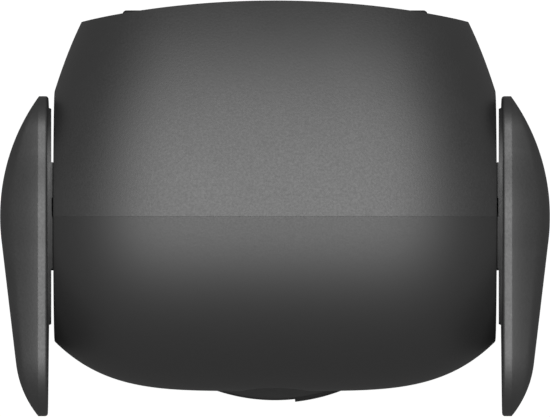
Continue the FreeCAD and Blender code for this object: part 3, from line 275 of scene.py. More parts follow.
@dataclass(frozen=True)
class Optic(Finish):
    """Glass or clear acrylic, polished, with the faintest dust and ripple in its surface."""

    colour: str
    index: float
    clear: float
    roughness: float = 0.02
    coating: float = 0.0

    def look(self, tree: bpy.types.NodeTree, place: Socket) -> dict[str, Any]:
        """Dust in the sheen over a clear body, with a thin film where the glass is coated."""
        dust = add(tree, "ShaderNodeTexNoise", {"Vector": place, "Scale": 1 / (0.8 * MM), "Detail": 3.0})
        rough = add(tree, "ShaderNodeMapRange", {"Value": dust.outputs["Fac"], "From Min": 0.4,
                                                 "From Max": 0.8, "To Min": self.roughness,
                                                 "To Max": self.roughness + 0.06})
        return {"Roughness": rough, "Base Color": linear(self.colour), "IOR": self.index,
                "Transmission Weight": self.clear, "Thin Film Thickness": self.coating, "Thin Film IOR": 1.38}


# The rear shell and the arms have the sparkle of a coarse spark-eroded tool
CHARCOAL = Moulded("charcoal_moulded_abs", "#242424", 0.57, grain=0.45, depth=0.022, tone=0.14, edge=0.12,
                   specular=1.0, slot="charcoal_shell")
# The front shell is a finer moulding, a shade darker, so that the seam over the axis shows as a step in tone
CHARCOAL_FRONT = Moulded("charcoal_moulded_abs_front", "#202020", 0.58, grain=0.3, depth=0.003, tone=0.04,
                         edge=0.06, specular=0.84, slot="charcoal_shell")
# The base's charcoal has less sheen and so looks darker. This is painted shade: it stands in for the head's
# shadow on the base and the turntable when seen from above
CHARCOAL_BASE_PAINTED_SHADE = Moulded("charcoal_moulded_abs_base_painted_shade", "#292929", 0.7, grain=0.45, depth=0.022, tone=0.14,
                        edge=0.1, specular=0.32, slot="charcoal_shell")
# Milky plastic, which shows the unlit status light as a small pale dot
LIGHT_PIPE = Moulded("milky_light_pipe", "#7c7c7a", 0.35, grain=0.2, edge=0.05, slot="clear_glass")
# A darker, slightly shinier moulding sets the recessed rear panel and the button apart from the shell
DARK_PANEL = Moulded("dark_moulded_panel", "#1f1f20", 0.42, grain=0.25, edge=0.1, slot="dark_panel")
# Polished black plastic round the lens, which shows one clean highlight
BEZEL = Moulded("gloss_black_bezel", "#0c0c0d", 0.18, grain=0.6, depth=0.001, tone=0.05, edge=0.08,
                slot="bezel_black")
# Dull black flocked plastic inside the lens, which swallows stray light
BAFFLE = Moulded("matt_black_baffle", "#090909", 0.85, grain=0.2, depth=0.02, tone=0.2, edge=0.05,
                 slot="bezel_black")
# Epoxy of chips and sockets: black, fine and half matt
CHIP = Moulded("black_epoxy_package", "#161617", 0.45, grain=0.2, depth=0.004, edge=0.06, slot="chip")
# Acetal of bearings and wheels: milky white and waxy
BEARING = Moulded("white_acetal", "#d9d7d0", 0.38, grain=0.4, depth=0.002)
# Silicone of the feet and the cable: dull, and soft at its edges
RUBBER = Moulded("silicone_rubber", "#1b1b1c", 0.72, grain=0.35, depth=0.015, edge=0.15, slot="rubber")
# Plated screws and motor cans: cool grey with drawing marks
STEEL = Worked("zinc_plated_steel", "#b6b9bd", 0.32, slot="steel")
# Turned brass of the pinions and the tripod thread: warm, with fine rings
BRASS = Worked("turned_brass", "#c8a45c", 0.28, slot="brass")
# Gold flash on the sockets' spring contacts
GOLD = Worked("gold_plated_contact", "#e6c27a", 0.22, pitch=0.08, depth=0.001, slot="brass")
# Extruded heat sink: brighter than the steel
ALUMINIUM = Worked("extruded_aluminium", "#c3c6c9", 0.38)
# Green mask over copper tracks
BOARD = Laminate("green_solder_mask", "#123a24", "#1d5435")
# Lens glass with a thin coating, which gives the violet and green glints of a camera lens
LENS_GLASS = Optic("coated_lens_glass", "#eceaf5", 1.52, 1.0, coating=140.0, slot="clear_glass")
# Clear moulded polycarbonate of the lens window and the lamps
WINDOW = Optic("clear_polycarbonate", "#f5f7f7", 1.58, 1.0, slot="clear_glass")
# Acrylic that looks black and lets only infrared through
INFRARED_PANE = Optic("smoked_infrared_acrylic", "#16090c", 1.49, 0.35, roughness=0.05, slot="dark_window")


def piece(name: str, mesh: Mesh, finish: Finish, body: str, *stands_for: str) -> None:
    """Makes a mesh one of the object's pieces.

    Args:
        name: the piece's name.
        mesh: its mesh, in place.
        finish: its finish.
        body: the body that it rides on.
        stands_for: the nodes of the part that it replaces.
    """
    made = bpy.data.objects.new(name, mesh)
    bpy.context.scene.collection.objects.link(made)
    mesh.materials.clear()
    mesh.materials.append(finish.material())
    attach(made, body)
    if stands_for:
        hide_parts(*stands_for)
    log.info("%s on %s, %d faces", name, body, len(mesh.polygons))


def dress(finish: Finish, *nodes: str) -> None:
    """Gives nodes of the part that stay their finish."""
    for node in nodes:
        mesh = frame["nodes"][node].data
        mesh.materials.clear()
        mesh.materials.append(finish.material())


# Shapes


@contextmanager
def opened(mesh: Mesh) -> Iterator[bmesh.types.BMesh]:
    """Opens a mesh for work and writes the result back with its faces turned outwards."""
    work = bmesh.new()
    work.from_mesh(mesh)
    yield work
    bmesh.ops.recalc_face_normals(work, faces=work.faces)
    work.to_mesh(mesh)
    work.free()


def tidy(mesh: Mesh) -> None:
    """Merges doubles, turns faces outwards and shades smooth between sharp edges."""
    with opened(mesh) as work:
        bmesh.ops.remove_doubles(work, verts=work.verts, dist=MERGE_DISTANCE)
        bmesh.ops.dissolve_degenerate(work, edges=work.edges, dist=MERGE_DISTANCE)
    mesh.shade_smooth()
    mesh.set_sharp_from_angle(angle=SHARP_ANGLE)


def circle(radius: float, steps: int) -> np.ndarray:
    """Points of a circle in a plane, anticlockwise."""
    angles = np.linspace(0, 2 * math.pi, steps, endpoint=False)
    return np.stack([radius * np.cos(angles), radius * np.sin(angles)], axis=1)


class Maker:
    """Collects vertices and faces in millimetres and makes one mesh of them."""

    def __init__(self) -> None:
        """Starts with nothing."""
        self.points: list[Triple] = []
        self.faces: list[tuple[int, ...]] = []

    def loft(self, loops: Sequence[np.ndarray], closed: bool = False) -> "Maker":
        """Joins closed loops of the same number of points by quads, and fills the first and the last.

        Args:
            loops: the loops, each an array of points.
            closed: whether the last loop joins the first again, with nothing filled.

        Returns:
            The maker itself.
        """
        start, count, rows = len(self.points), len(loops[0]), len(loops)
        for loop in loops:
            self.points.extend(tuple(float(value) for value in point) for point in loop)
        for row in range(rows if closed else rows - 1):
            low, high = start + row * count, start + (row + 1) % rows * count
            for column in range(count):
                after = (column + 1) % count
                self.faces.append((low + column, low + after, high + after, high + column))
        if not closed:
            self.faces.append(tuple(range(start + count - 1, start - 1, -1)))
            self.faces.append(tuple(range(start + (rows - 1) * count, start + rows * count)))
        return self

    def turn(self, profile: Sequence[Pair], axis: Axis, centre: Triple, steps: int = 96,
             closed: bool = False) -> "Maker":
        """Turns a profile round an axis.

        Args:
            profile: pairs of radius and place along the axis.
            axis: the axis.
            centre: the axis's zero point.
            steps: the number of flats round the axis.
            closed: whether the profile comes back to its start, as a ring's does.

        Returns:
            The maker itself.
        """
        loops = [axis.lay(circle(radius, steps), along) + np.array(centre) for radius, along in profile]
        return self.loft(loops, closed)

    def mesh(self, name: str) -> Mesh:
        """The mesh in metres, its doubles merged and its faces turned outwards."""
        mesh = bpy.data.meshes.new(name)
        mesh.from_pydata([[value * MM for value in point] for point in self.points], [], self.faces)
        tidy(mesh)
        return mesh


def combine(base: Mesh, tools: Sequence[tuple[Work, Mesh]]) -> Mesh:
    """Works on a closed mesh with others, exactly and in their order.

    Args:
        base: the mesh that is worked on.
        tools: what is done, and the closed mesh that it is done with.

    Returns:
        The result, with sharp edges marked.
    """
    scene = bpy.context.scene.collection
    body = bpy.data.objects.new("work", base)
    scene.objects.link(body)
    helpers = []
    for work, mesh in tools:
        helper = bpy.data.objects.new("tool", mesh)
        scene.objects.link(helper)
        helpers.append(helper)
        change = body.modifiers.new("work", "BOOLEAN")
        change.operation, change.object, change.solver = work.value, helper, "EXACT"
    result = bpy.data.meshes.new_from_object(body.evaluated_get(bpy.context.evaluated_depsgraph_get()))
    for helper in (body, *helpers):
        bpy.data.objects.remove(helper)
    tidy(result)
    return result


def cut(*meshes: Mesh) -> list[tuple[Work, Mesh]]:
    """Meshes as tools that cut."""
    return [(Work.CUT, mesh) for mesh in meshes]


def rod(radius: float, axis: Axis, span: Pair, centre: Triple, steps: int = 96) -> Mesh:
    """A plain round cutter along an axis."""
    return Maker().turn([(radius, end) for end in span], axis, centre, steps).mesh("rod")


def box(low: Triple, high: Triple) -> Mesh:
    """A plain square cutter between two corners."""
    (left, front, _), (right, back, _) = low, high
    corners = np.array([(left, front), (right, front), (right, back), (left, back)])
    return Maker().loft([Axis.Z.lay(corners, z) for z in (low[2], high[2])]).mesh("box")


def rounded_edge(radius: float, steps: int = 5) -> list[Pair]:
    """How far an edge's rounding lies inwards and how far it has climbed, from flank to top."""
    if radius <= 0:
        return [(0.0, 0.0)]
    angles = [QUARTER * step / steps for step in range(steps + 1)]
    return [(radius * (1 - math.cos(angle)), radius * math.sin(angle)) for angle in angles]


def inward(outline: np.ndarray, amount: float) -> np.ndarray:
    """An outline that runs anticlockwise, moved inwards by an even amount."""
    along = np.roll(outline, -1, axis=0) - np.roll(outline, 1, axis=0)
    along /= np.linalg.norm(along, axis=1)[:, None]
    return outline + amount * np.stack([-along[:, 1], along[:, 0]], axis=1)


def rectangle(low: Pair, high: Pair, radius: float, steps: int = 8) -> np.ndarray:
    """Points of a rectangle with round corners, anticlockwise."""
    points = []
    for x, y, start in ((high[0] - radius, high[1] - radius, 0), (low[0] + radius, high[1] - radius, 90),
                        (low[0] + radius, low[1] + radius, 180), (high[0] - radius, low[1] + radius, 270)):
        for step in range(steps + 1):
            angle = math.radians(start + 90 * step / steps)
            points.append((x + radius * math.cos(angle), y + radius * math.sin(angle)))
    return np.array(points)


def slab(outline: np.ndarray, axis: Axis, span: Pair, edges: Pair = (0.0, 0.0)) -> Mesh:
    """A plate of any outline, its edges rounded at both ends.

    Args:
        outline: points in the plane across the axis, anticlockwise.
        axis: the axis along the plate's thickness.
        span: the thickness, as two places along the axis.
        edges: the radius of the rounding at each end.

    Returns:
        The closed mesh.
    """
    layers = [(inset, span[0] + edges[0] - climb) for inset, climb in rounded_edge(edges[0])[::-1]]
    layers += [(inset, span[1] - edges[1] + climb) for inset, climb in rounded_edge(edges[1])]
    loops = [axis.lay(inward(outline, inset) if inset else outline, along) for inset, along in layers]
    return Maker().loft(loops).mesh("slab")


def sector(inner: float, outer: float, from_angle: float, to_angle: float) -> np.ndarray:
    """The outline of a piece of a ring in plan, its angles counted from the front towards the right."""
    turns = np.radians(np.linspace(from_angle, to_angle, 49))
    outside, inside = (np.stack([radius * np.sin(turns), -radius * np.cos(turns)], axis=1)
                       for radius in (outer, inner))
    return np.concatenate([outside, inside[::-1]])


# Rules for what repeats, as geometry nodes


def grown(tree: bpy.types.GeometryNodeTree, lengths: dict[str, Any], others: dict[str, Any],
          places: Sequence[Triple] = ()) -> Mesh:
    """Runs a geometry tree once and gives its result as a plain mesh.

    Args:
        tree: the geometry node tree.
        lengths: its named inputs in millimetres, each a number or a vector.
        others: its other named inputs.
        places: points in millimetres, where the tree takes any.

    Returns:
        The mesh that the tree makes.
    """
    scaled = {name: [part * MM for part in value] if isinstance(value, tuple) else value * MM
              for name, value in lengths.items()}
    values = {**scaled, **others}
    start = bpy.data.meshes.new("places")
    start.from_pydata([[value * MM for value in point] for point in places], [], [])
    holder = bpy.data.objects.new("grown", start)
    bpy.context.scene.collection.objects.link(holder)
    rule = holder.modifiers.new("rule", "NODES")
    rule.node_group = tree
    for item in tree.interface.items_tree:
        if item.in_out == "INPUT" and item.name in values:
            rule[item.identifier] = values[item.name]
    result = bpy.data.meshes.new_from_object(holder.evaluated_get(bpy.context.evaluated_depsgraph_get()))
    holder.modifiers.remove(rule)
    bpy.data.objects.remove(holder)
    return result


def new_rule(name: str, numbers: Sequence[str] = (), counts: Sequence[str] = (), vectors: Sequence[str] = (),
             points: bool = False) -> tuple[bpy.types.GeometryNodeTree, Any]:
    """Starts a geometry node tree with named inputs.

    Args:
        name: the tree's name.
        numbers: names of its inputs that are sizes in metres or shares.
        counts: names of its inputs that are whole numbers.
        vectors: names of its inputs that are vectors.
        points: whether it takes the points of the object's own mesh.

    Returns:
        The tree and its inputs.
    """
    tree = bpy.data.node_groups.new(name, "GeometryNodeTree")
    for names, kind in ((("Places",) if points else (), "Geometry"), (numbers, "Float"), (counts, "Int"),
                        (vectors, "Vector"), (("Finish",), "Material")):
        for item in names:
            tree.interface.new_socket(item, in_out="INPUT", socket_type=f"NodeSocket{kind}")
    tree.interface.new_socket("Geometry", in_out="OUTPUT", socket_type="NodeSocketGeometry")
    return tree, add(tree, "NodeGroupInput").outputs


def end_rule(tree: bpy.types.GeometryNodeTree, given: Any, geometry: bpy.types.Node) -> None:
    """Makes the tree's instances real, gives them the finish and sends them out."""
    real = add(tree, "GeometryNodeRealizeInstances", {"Geometry": geometry})
    dressed = add(tree, "GeometryNodeSetMaterial", {"Geometry": real, "Material": given["Finish"]})
    add(tree, "NodeGroupOutput", {"Geometry": dressed})


def screw_tree() -> bpy.types.GeometryNodeTree:
    """Screws on a row of places: a round head with a crossed recess, and a shank with a thread's ridges."""
    tree, given = new_rule("Screws", ("Head Radius", "Head Height", "Shank Radius", "Length", "Pitch"),
                           ("Ridges",), ("Turn",), points=True)
    height, shares = given["Head Height"], {}
    for name, whole, share in (("half", "Head Height", 0.5), ("long", "Head Radius", 1.15),
                               ("wide", "Head Radius", 0.24), ("core", "Shank Radius", 0.82),
                               ("ridge", "Pitch", 0.4)):
        shares[name] = add(tree, "ShaderNodeMath", {0: given[whole], 1: share}, operation="MULTIPLY")
    head = add(tree, "GeometryNodeMeshCylinder", {"Vertices": 40, "Radius": given["Head Radius"],
                                                  "Depth": height})
    lift = add(tree, "ShaderNodeCombineXYZ", {2: shares["half"]})
    lifted = add(tree, "GeometryNodeTransform", {"Geometry": head, "Translation": lift})
    arms = []
    for x, y in (("long", "wide"), ("wide", "long")):
        size = add(tree, "ShaderNodeCombineXYZ", {0: shares[x], 1: shares[y], 2: height})
        arms.append(add(tree, "GeometryNodeMeshCube", {"Size": size}))
    cross = add(tree, "GeometryNodeMeshBoolean", {"Mesh 2": arms}, operation="UNION")
    recessed = add(tree, "GeometryNodeMeshBoolean", {"Mesh 1": lifted, "Mesh 2": cross},
                   operation="DIFFERENCE")
    rest = add(tree, "ShaderNodeMath", {0: given["Length"], 1: height}, operation="SUBTRACT")
    shank = add(tree, "GeometryNodeMeshCylinder", {"Vertices": 20, "Radius": shares["core"], "Depth": rest})
    middle = add(tree, "ShaderNodeMath", {0: rest, 1: 0.5, 2: height}, operation="MULTIPLY_ADD")
    under = add(tree, "ShaderNodeCombineXYZ", {2: middle})
    hung = add(tree, "GeometryNodeTransform", {"Geometry": shank, "Translation": under})
    ridge = add(tree, "GeometryNodeMeshCylinder", {"Vertices": 20, "Radius": given["Shank Radius"],
                                                   "Depth": shares["ridge"]})
    begin = add(tree, "ShaderNodeMath", {0: height, 1: given["Pitch"]}, operation="ADD")
    start, step = (add(tree, "ShaderNodeCombineXYZ", {2: up}) for up in (begin, given["Pitch"]))
    line = add(tree, "GeometryNodeMeshLine", {"Count": given["Ridges"], "Start Location": start,
                                              "Offset": step})
    thread = add(tree, "GeometryNodeInstanceOnPoints", {"Points": line, "Instance": ridge})
    whole = add(tree, "GeometryNodeJoinGeometry", {"Geometry": [recessed, hung, thread]})
    placed = add(tree, "GeometryNodeInstanceOnPoints", {"Points": given["Places"], "Instance": whole,
                                                        "Rotation": given["Turn"]})
    end_rule(tree, given, placed)
    return tree


def bar_tree() -> bpy.types.GeometryNodeTree:
    """A row of equal bars, as contacts stand side by side."""
    tree, given = new_rule("Bars", (), ("Count",), ("Start", "Step", "Size"))
    bar = add(tree, "GeometryNodeMeshCube", {"Size": given["Size"]})
    line = add(tree, "GeometryNodeMeshLine", {"Count": given["Count"], "Start Location": given["Start"],
                                              "Offset": given["Step"]})
    end_rule(tree, given, add(tree, "GeometryNodeInstanceOnPoints", {"Points": line, "Instance": bar}))
    return tree


def barrel_tree() -> bpy.types.GeometryNodeTree:
    """The head's skin from one flat side to the other: round sections that swell towards the middle."""
    tree, given = new_rule("BarrelSkin", ("Half Width", "Side Radius", "Half Height", "Front Reach",
                                          "Rear Reach", "Power", "Inset", "Axis"), ("Stations", "Around"))
    grid = add(tree, "GeometryNodeMeshGrid", {"Size X": 2.0, "Size Y": 2 * math.pi,
                                              "Vertices X": given["Stations"], "Vertices Y": given["Around"]})
    place = add(tree, "ShaderNodeSeparateXYZ", {0: add(tree, "GeometryNodeInputPosition")})
    share, angle = place.outputs[0], place.outputs[1]
    size = add(tree, "ShaderNodeMath", {0: share}, operation="ABSOLUTE")
    fall = add(tree, "ShaderNodeMath", {0: size, 1: given["Power"]}, operation="POWER")
    swell = add(tree, "ShaderNodeMath", {0: 1.0, 1: fall}, operation="SUBTRACT")
    reaches = {}
    for name in ("Half Height", "Front Reach", "Rear Reach"):
        extra = add(tree, "ShaderNodeMath", {0: given[name], 1: given["Side Radius"]}, operation="SUBTRACT")
        total = add(tree, "ShaderNodeMath", {0: extra, 1: swell, 2: given["Side Radius"]},
                    operation="MULTIPLY_ADD")
        reaches[name] = add(tree, "ShaderNodeMath", {0: total, 1: given["Inset"]}, operation="SUBTRACT")
    depth = add(tree, "ShaderNodeMath", {0: angle}, operation="COSINE")
    climb = add(tree, "ShaderNodeMath", {0: angle}, operation="SINE")
    behind = add(tree, "ShaderNodeMath", {0: depth, 1: 0.0}, operation="GREATER_THAN")
    reach = add(tree, "ShaderNodeMix", {"Factor": behind, "A": reaches["Front Reach"],
                                        "B": reaches["Rear Reach"]}, data_type="FLOAT")
    half = add(tree, "ShaderNodeMath", {0: given["Half Width"], 1: given["Inset"]}, operation="SUBTRACT")
    x = add(tree, "ShaderNodeMath", {0: share, 1: half}, operation="MULTIPLY")
    y = add(tree, "ShaderNodeMath", {0: depth, 1: reach}, operation="MULTIPLY")
    z = add(tree, "ShaderNodeMath", {0: climb, 1: reaches["Half Height"], 2: given["Axis"]},
            operation="MULTIPLY_ADD")
    whole = add(tree, "ShaderNodeCombineXYZ", {0: x, 1: y, 2: z})
    moved = add(tree, "GeometryNodeSetPosition", {"Geometry": grid, "Position": whole})
    end_rule(tree, given, add(tree, "GeometryNodeMergeByDistance", {"Geometry": moved, "Distance": 1e-7}))
    return tree


def perforation_tree() -> bpy.types.GeometryNodeTree:
    """A staggered field of small round pegs with soft corners, which cut the rear panel's perforations."""
    tree, given = new_rule("Perforations", ("Pitch", "Hole Radius", "Depth", "Half Width", "Half Height",
                                            "Height", "Face Radius", "Face Centre"), ("Columns", "Rows"))
    place = add(tree, "ShaderNodeSeparateXYZ", {0: add(tree, "GeometryNodeInputPosition")})
    sizes, powers = [], []
    for number, half in enumerate(("Half Width", "Half Height")):
        sizes.append(add(tree, "ShaderNodeMath", {0: given[half], 1: 2.0}, operation="MULTIPLY"))
        share = add(tree, "ShaderNodeMath", {0: place.outputs[number], 1: given[half]}, operation="DIVIDE")
        powers.append(add(tree, "ShaderNodeMath", {0: share, 1: 4.0}, operation="POWER"))
    grid = add(tree, "GeometryNodeMeshGrid", {"Size X": sizes[0], "Size Y": sizes[1],
                                              "Vertices X": given["Columns"], "Vertices Y": given["Rows"]})
    spread = add(tree, "ShaderNodeMath", {0: powers[0], 1: powers[1]}, operation="ADD")
    outside = add(tree, "ShaderNodeMath", {0: spread, 1: 1.25}, operation="GREATER_THAN")
    kept = add(tree, "GeometryNodeDeleteGeometry", {"Geometry": grid, "Selection": outside}, domain="POINT")
    row_parts = add(tree, "ShaderNodeMath", {0: place.outputs[1], 1: given["Pitch"]}, operation="DIVIDE")
    row = add(tree, "ShaderNodeMath", {0: row_parts}, operation="ROUND")
    odd = add(tree, "ShaderNodeMath", {0: row, 1: 1.0}, operation="PINGPONG")
    shift = add(tree, "ShaderNodeMath", {0: odd, 1: given["Pitch"]}, operation="MULTIPLY")
    half_shift = add(tree, "ShaderNodeMath", {0: shift, 1: 0.5}, operation="MULTIPLY")
    x = add(tree, "ShaderNodeMath", {0: place.outputs[0], 1: half_shift}, operation="ADD")
    z = add(tree, "ShaderNodeMath", {0: place.outputs[1], 1: given["Height"]}, operation="ADD")
    square = add(tree, "ShaderNodeMath", {0: x, 1: x}, operation="MULTIPLY")
    whole_square = add(tree, "ShaderNodeMath", {0: given["Face Radius"], 1: given["Face Radius"]},
                       operation="MULTIPLY")
    rest = add(tree, "ShaderNodeMath", {0: whole_square, 1: square}, operation="SUBTRACT")
    bow = add(tree, "ShaderNodeMath", {0: rest}, operation="SQRT")
    y = add(tree, "ShaderNodeMath", {0: bow, 1: given["Face Centre"]}, operation="ADD")
    whole = add(tree, "ShaderNodeCombineXYZ", {0: x, 1: y, 2: z})
    moved = add(tree, "GeometryNodeSetPosition", {"Geometry": kept, "Position": whole})
    length = add(tree, "ShaderNodeMath", {0: given["Depth"], 1: 2.0}, operation="MULTIPLY")
    peg = add(tree, "GeometryNodeMeshCylinder", {"Vertices": 14, "Radius": given["Hole Radius"],
                                                 "Depth": length})
    placed = add(tree, "GeometryNodeInstanceOnPoints", {"Points": moved, "Instance": peg,
                                                        "Rotation": (QUARTER, 0.0, 0.0)})
    end_rule(tree, given, placed)
    return tree


@dataclass(frozen=True)
class Screws:
    """A group of equal screws."""

    head_radius: float
    head_height: float
    shank_radius: float
    length: float
    turn: Triple = (0.0, 0.0, 0.0)
    pitch: float = 0.5

    def mesh(self, places: Sequence[Triple]) -> Mesh:
        """The screws, with the outer face of each head at one of the places."""
        ridges = int((self.length - self.head_height) / self.pitch) - 1
        return grown(bpy.data.node_groups.get("Screws") or screw_tree(),
                     {"Head Radius": self.head_radius, "Head Height": self.head_height,
                      "Shank Radius": self.shank_radius, "Length": self.length, "Pitch": self.pitch},
                     {"Ridges": ridges, "Turn": self.turn, "Finish": STEEL.material()}, places)


def bars(count: int, start: Triple, step: Triple, size: Triple) -> Mesh:
    """A row of equal gold-plated bars in millimetres.

    Args:
        count: how many bars there are.
        start: the middle of the first one.
        step: from one to the next.
        size: their lengths along X, Y and Z.

    Returns:
        The bars as one mesh.
    """
    return grown(bpy.data.node_groups.get("Bars") or bar_tree(), {"Start": start, "Step": step, "Size": size},
                 {"Count": count, "Finish": GOLD.material()})


# The head


@dataclass
class Head:
    """The barrel-shaped head: two shells, the rear panel, the lens and the infrared window."""

    half_width: float = 44.1
    side_radius: float = 25.0
    half_height: float = 35.5
    front_reach: float = 34.94
    rear_reach: float = 56.7
    power: float = 4.4
    wall: float = 2.0
    edge: float = 0.25
    rear_face_radius: float = 184.2
    rear_face_reach: float = 42.95
    panel_recess: float = 0.5
    panel_thickness: float = 2.0
    panel_inset: float = 2.12
    hole_pitch: float = 2.4
    hole_radius: float = 0.55
    hole_depth: float = 0.8
    hole_field: Pair = (19.2, 4.8)
    hole_counts: tuple[int, int] = (17, 5)
    lens_opening: float = 7.0
    hub_hole: float = 9.05
    hub_recess: float = 11.1
    hub_recess_floor: float = 43.6
    window_half_width: float = 13.0
    window_half_height: float = 4.0
    window_drop: float = 15.0
    window_depths: Pair = (0.1, 1.5)
    microphone_drop: float = 20.3
    microphone_hole: float = 0.6
    light_x: float = 6.0
    light_hole: float = 1.0
    light_gap: float = 0.12
    bezel_recess: float = 0.8
    bezel_bores: Pair = (6.2, 5.0)
    bezel_steps: int = 6
    bezel_flange: float = 9.0
    bezel_flange_thickness: float = 1.0
    pane_thickness: float = 1.0
    pane_chamfer: float = 0.15
    barrel_radius: float = 5.5
    barrel_length: float = 13.0
    barrel_bore: float = 3.0
    baffle_count: int = 20
    baffle_pitch: float = 0.5
    glass_radius: float = 4.2
    glass_thickness: float = 2.2
    glass_balls: Pair = (7.0, 4.2)
    iris_radius: float = 1.5
    lamp_radius: float = 1.5
    lamp_dome_share: float = 0.93
    lamp_length: float = 4.0
    lamp_front: float = -27.0
    lamp_pitch: float = 5.4
    lamp_count: int = 4
    frame_screw_place: Triple = (26.0, -4.8, 16.0)

    def barrel(self, inset: float, stations: int = 133, around: int = 241) -> Mesh:
        """The head's whole skin as a closed mesh.

        Args:
            inset: how far the skin is moved inwards.
            stations: the number of sections from side to side.
            around: the number of points round each section, with the first one twice.

        Returns:
            The closed mesh.
        """
        mesh = grown(bpy.data.node_groups.get("BarrelSkin") or barrel_tree(),
                     {"Half Width": self.half_width, "Side Radius": self.side_radius,
                      "Half Height": self.half_height, "Front Reach": self.front_reach,
                      "Rear Reach": self.rear_reach, "Inset": inset, "Axis": TILT_Z},
                     {"Power": self.power, "Stations": stations, "Around": around,
                      "Finish": CHARCOAL.material()})
        with opened(mesh) as work:
            bmesh.ops.remove_doubles(work, verts=work.verts, dist=MERGE_DISTANCE)
            filled = bmesh.ops.holes_fill(work, edges=[edge for edge in work.edges if edge.is_boundary])
            rims = [edge for face in filled["faces"] for edge in face.edges]
            bmesh.ops.bevel(work, geom=rims, offset=self.edge * MM, segments=3, profile=0.5, affect="EDGES")
        return mesh

    def half(self, behind: bool) -> Mesh:
        """The solid front or rear half of the barrel, cut flat over the tilt axis."""
        mesh = self.barrel(0.0)
        with opened(mesh) as work:
            parts = [*work.verts, *work.edges, *work.faces]
            halved = bmesh.ops.bisect_plane(work, geom=parts, dist=MERGE_DISTANCE, plane_co=(0, 0, 0),
                                            plane_no=(0, 1, 0), clear_inner=behind, clear_outer=not behind)
            rim = [item for item in halved["geom_cut"] if isinstance(item, bmesh.types.BMEdge)]
            bmesh.ops.contextual_create(work, geom=rim)
        return mesh

    def rear_space(self, inset: float) -> Mesh:
        """All that lies before the head's rear face, moved inwards by inset, as a cutter."""
        radius, low, high = self.rear_face_radius - inset, TILT_Z - FAR, TILT_Z + FAR
        loops = []
        for x in np.linspace(-FAR, FAR, 161):
            back = self.rear_face_reach - self.rear_face_radius + math.sqrt(radius ** 2 - x ** 2)
            loops.append(np.array([(x, -FAR, low), (x, back, low), (x, back, high), (x, -FAR, high)]))
        return Maker().loft(loops).mesh("rear_space")

    def front_rod(self, radius: float, x: float, drop: float, steps: int) -> Mesh:
        """A round cutter through the front, at a drop below the axis."""
        return rod(radius, Axis.Y, (-FAR, -20), (x, 0, TILT_Z - drop), steps)

    def stadium(self, half_width: float, half_height: float, drop: float) -> Mesh:
        """A bar with round ends along Y, as a cutter below the lens."""
        outline = []
        for side, start in ((1, -QUARTER), (-1, QUARTER)):
            for step in range(33):
                angle = start + math.pi * step / 32
                outline.append((side * (half_width - half_height) + half_height * math.cos(angle),
                                half_height * math.sin(angle)))
        loops = [np.array([(x, y, TILT_Z - drop + z) for x, z in outline]) for y in (-FAR, -20)]
        return Maker().loft(loops).mesh("stadium")

    def shells(self) -> None:
        """The front and rear shells, which meet over the tilt axis, with the hubs' holes in both."""
        cavity = self.barrel(self.wall, 67, 121)
        hubs = [rod(self.hub_hole, Axis.X, (-FAR, FAR), TILT_AXIS)]
        hubs += [rod(self.hub_recess, Axis.X, side.span(self.hub_recess_floor, FAR), TILT_AXIS)
                 for side in Side]
        front = combine(self.half(False), cut(
            cavity, *hubs, self.front_rod(self.lens_opening, 0, 0, 128),
            self.front_rod(self.microphone_hole, 0, self.microphone_drop, 24),
            self.front_rod(self.light_hole, self.light_x, self.microphone_drop, 32),
            self.stadium(self.window_half_width, self.window_half_height, self.window_drop)))
        piece("front_shell_skin", front, CHARCOAL_FRONT, "head", "front_shell")
        rear = combine(self.half(True), [(Work.KEEP, self.rear_space(0.0)), *cut(cavity, *hubs)])
        piece("rear_shell_skin", rear, CHARCOAL, "head", "rear_shell")

    def panel(self) -> None:
        """The rear panel with its field of perforations."""
        holes = grown(perforation_tree(), {
            "Pitch": self.hole_pitch, "Hole Radius": self.hole_radius, "Depth": self.hole_depth,
            "Half Width": self.hole_field[0], "Half Height": self.hole_field[1], "Height": TILT_Z,
            "Face Radius": self.rear_face_radius - self.panel_recess,
            "Face Centre": self.rear_face_reach - self.rear_face_radius},
            {"Columns": self.hole_counts[0], "Rows": self.hole_counts[1], "Finish": DARK_PANEL.material()})
        panel = combine(self.barrel(self.panel_inset, 97, 161), [
            (Work.KEEP, self.rear_space(self.panel_recess)),
            *cut(self.rear_space(self.panel_recess + self.panel_thickness), holes)])
        piece("rear_panel_skin", panel, DARK_PANEL, "head", "rear_panel")

    def bezel(self, flange: float) -> None:
        """The ring in the lens opening, with a stepped cone that narrows down to its flange."""
        wide, narrow = self.bezel_bores
        outer, barrel = self.lens_opening - 0.05, self.barrel_radius + 0.1
        front, under = self.bezel_recess - self.front_reach, flange + self.bezel_flange_thickness
        cone = [(narrow, flange)]
        for step in range(1, self.bezel_steps):
            along = flange + (front - flange) * step / self.bezel_steps
            cone += [(narrow + (wide - narrow) * end / self.bezel_steps, along) for end in (step, step + 1)]
        profile = [(wide, front), (wide, -40.0), (outer, -40.0), (outer, flange), (self.bezel_flange, flange),
                   (self.bezel_flange, under), (barrel, under), (barrel, flange), *cone]
        ring = Maker().turn(profile, Axis.Y, TILT_AXIS, 160, closed=True).mesh("bezel")
        ring = combine(ring, [(Work.KEEP, self.barrel(self.bezel_recess))])
        piece("lens_bezel_ring", ring, BEZEL, "head", "lens_bezel")

    def lens(self) -> None:
        """The bezel, the window, the lens barrel with its baffles, two lens elements and the iris."""
        drop = self.bezel_flange / (self.half_height - self.wall)
        flange = -(self.front_reach - self.wall) * math.sqrt(1 - drop ** 2) + 0.3
        self.bezel(flange)

        radius, bevel, back = self.bezel_bores[1] - 0.1, self.pane_chamfer, flange - self.pane_thickness
        pane = Maker().turn([(radius - bevel, back), (radius, back + bevel), (radius, flange - bevel),
                             (radius - bevel, flange)], Axis.Y, TILT_AXIS, 128).mesh("pane")
        piece("lens_window_pane", pane, WINDOW, "head", "lens_window")

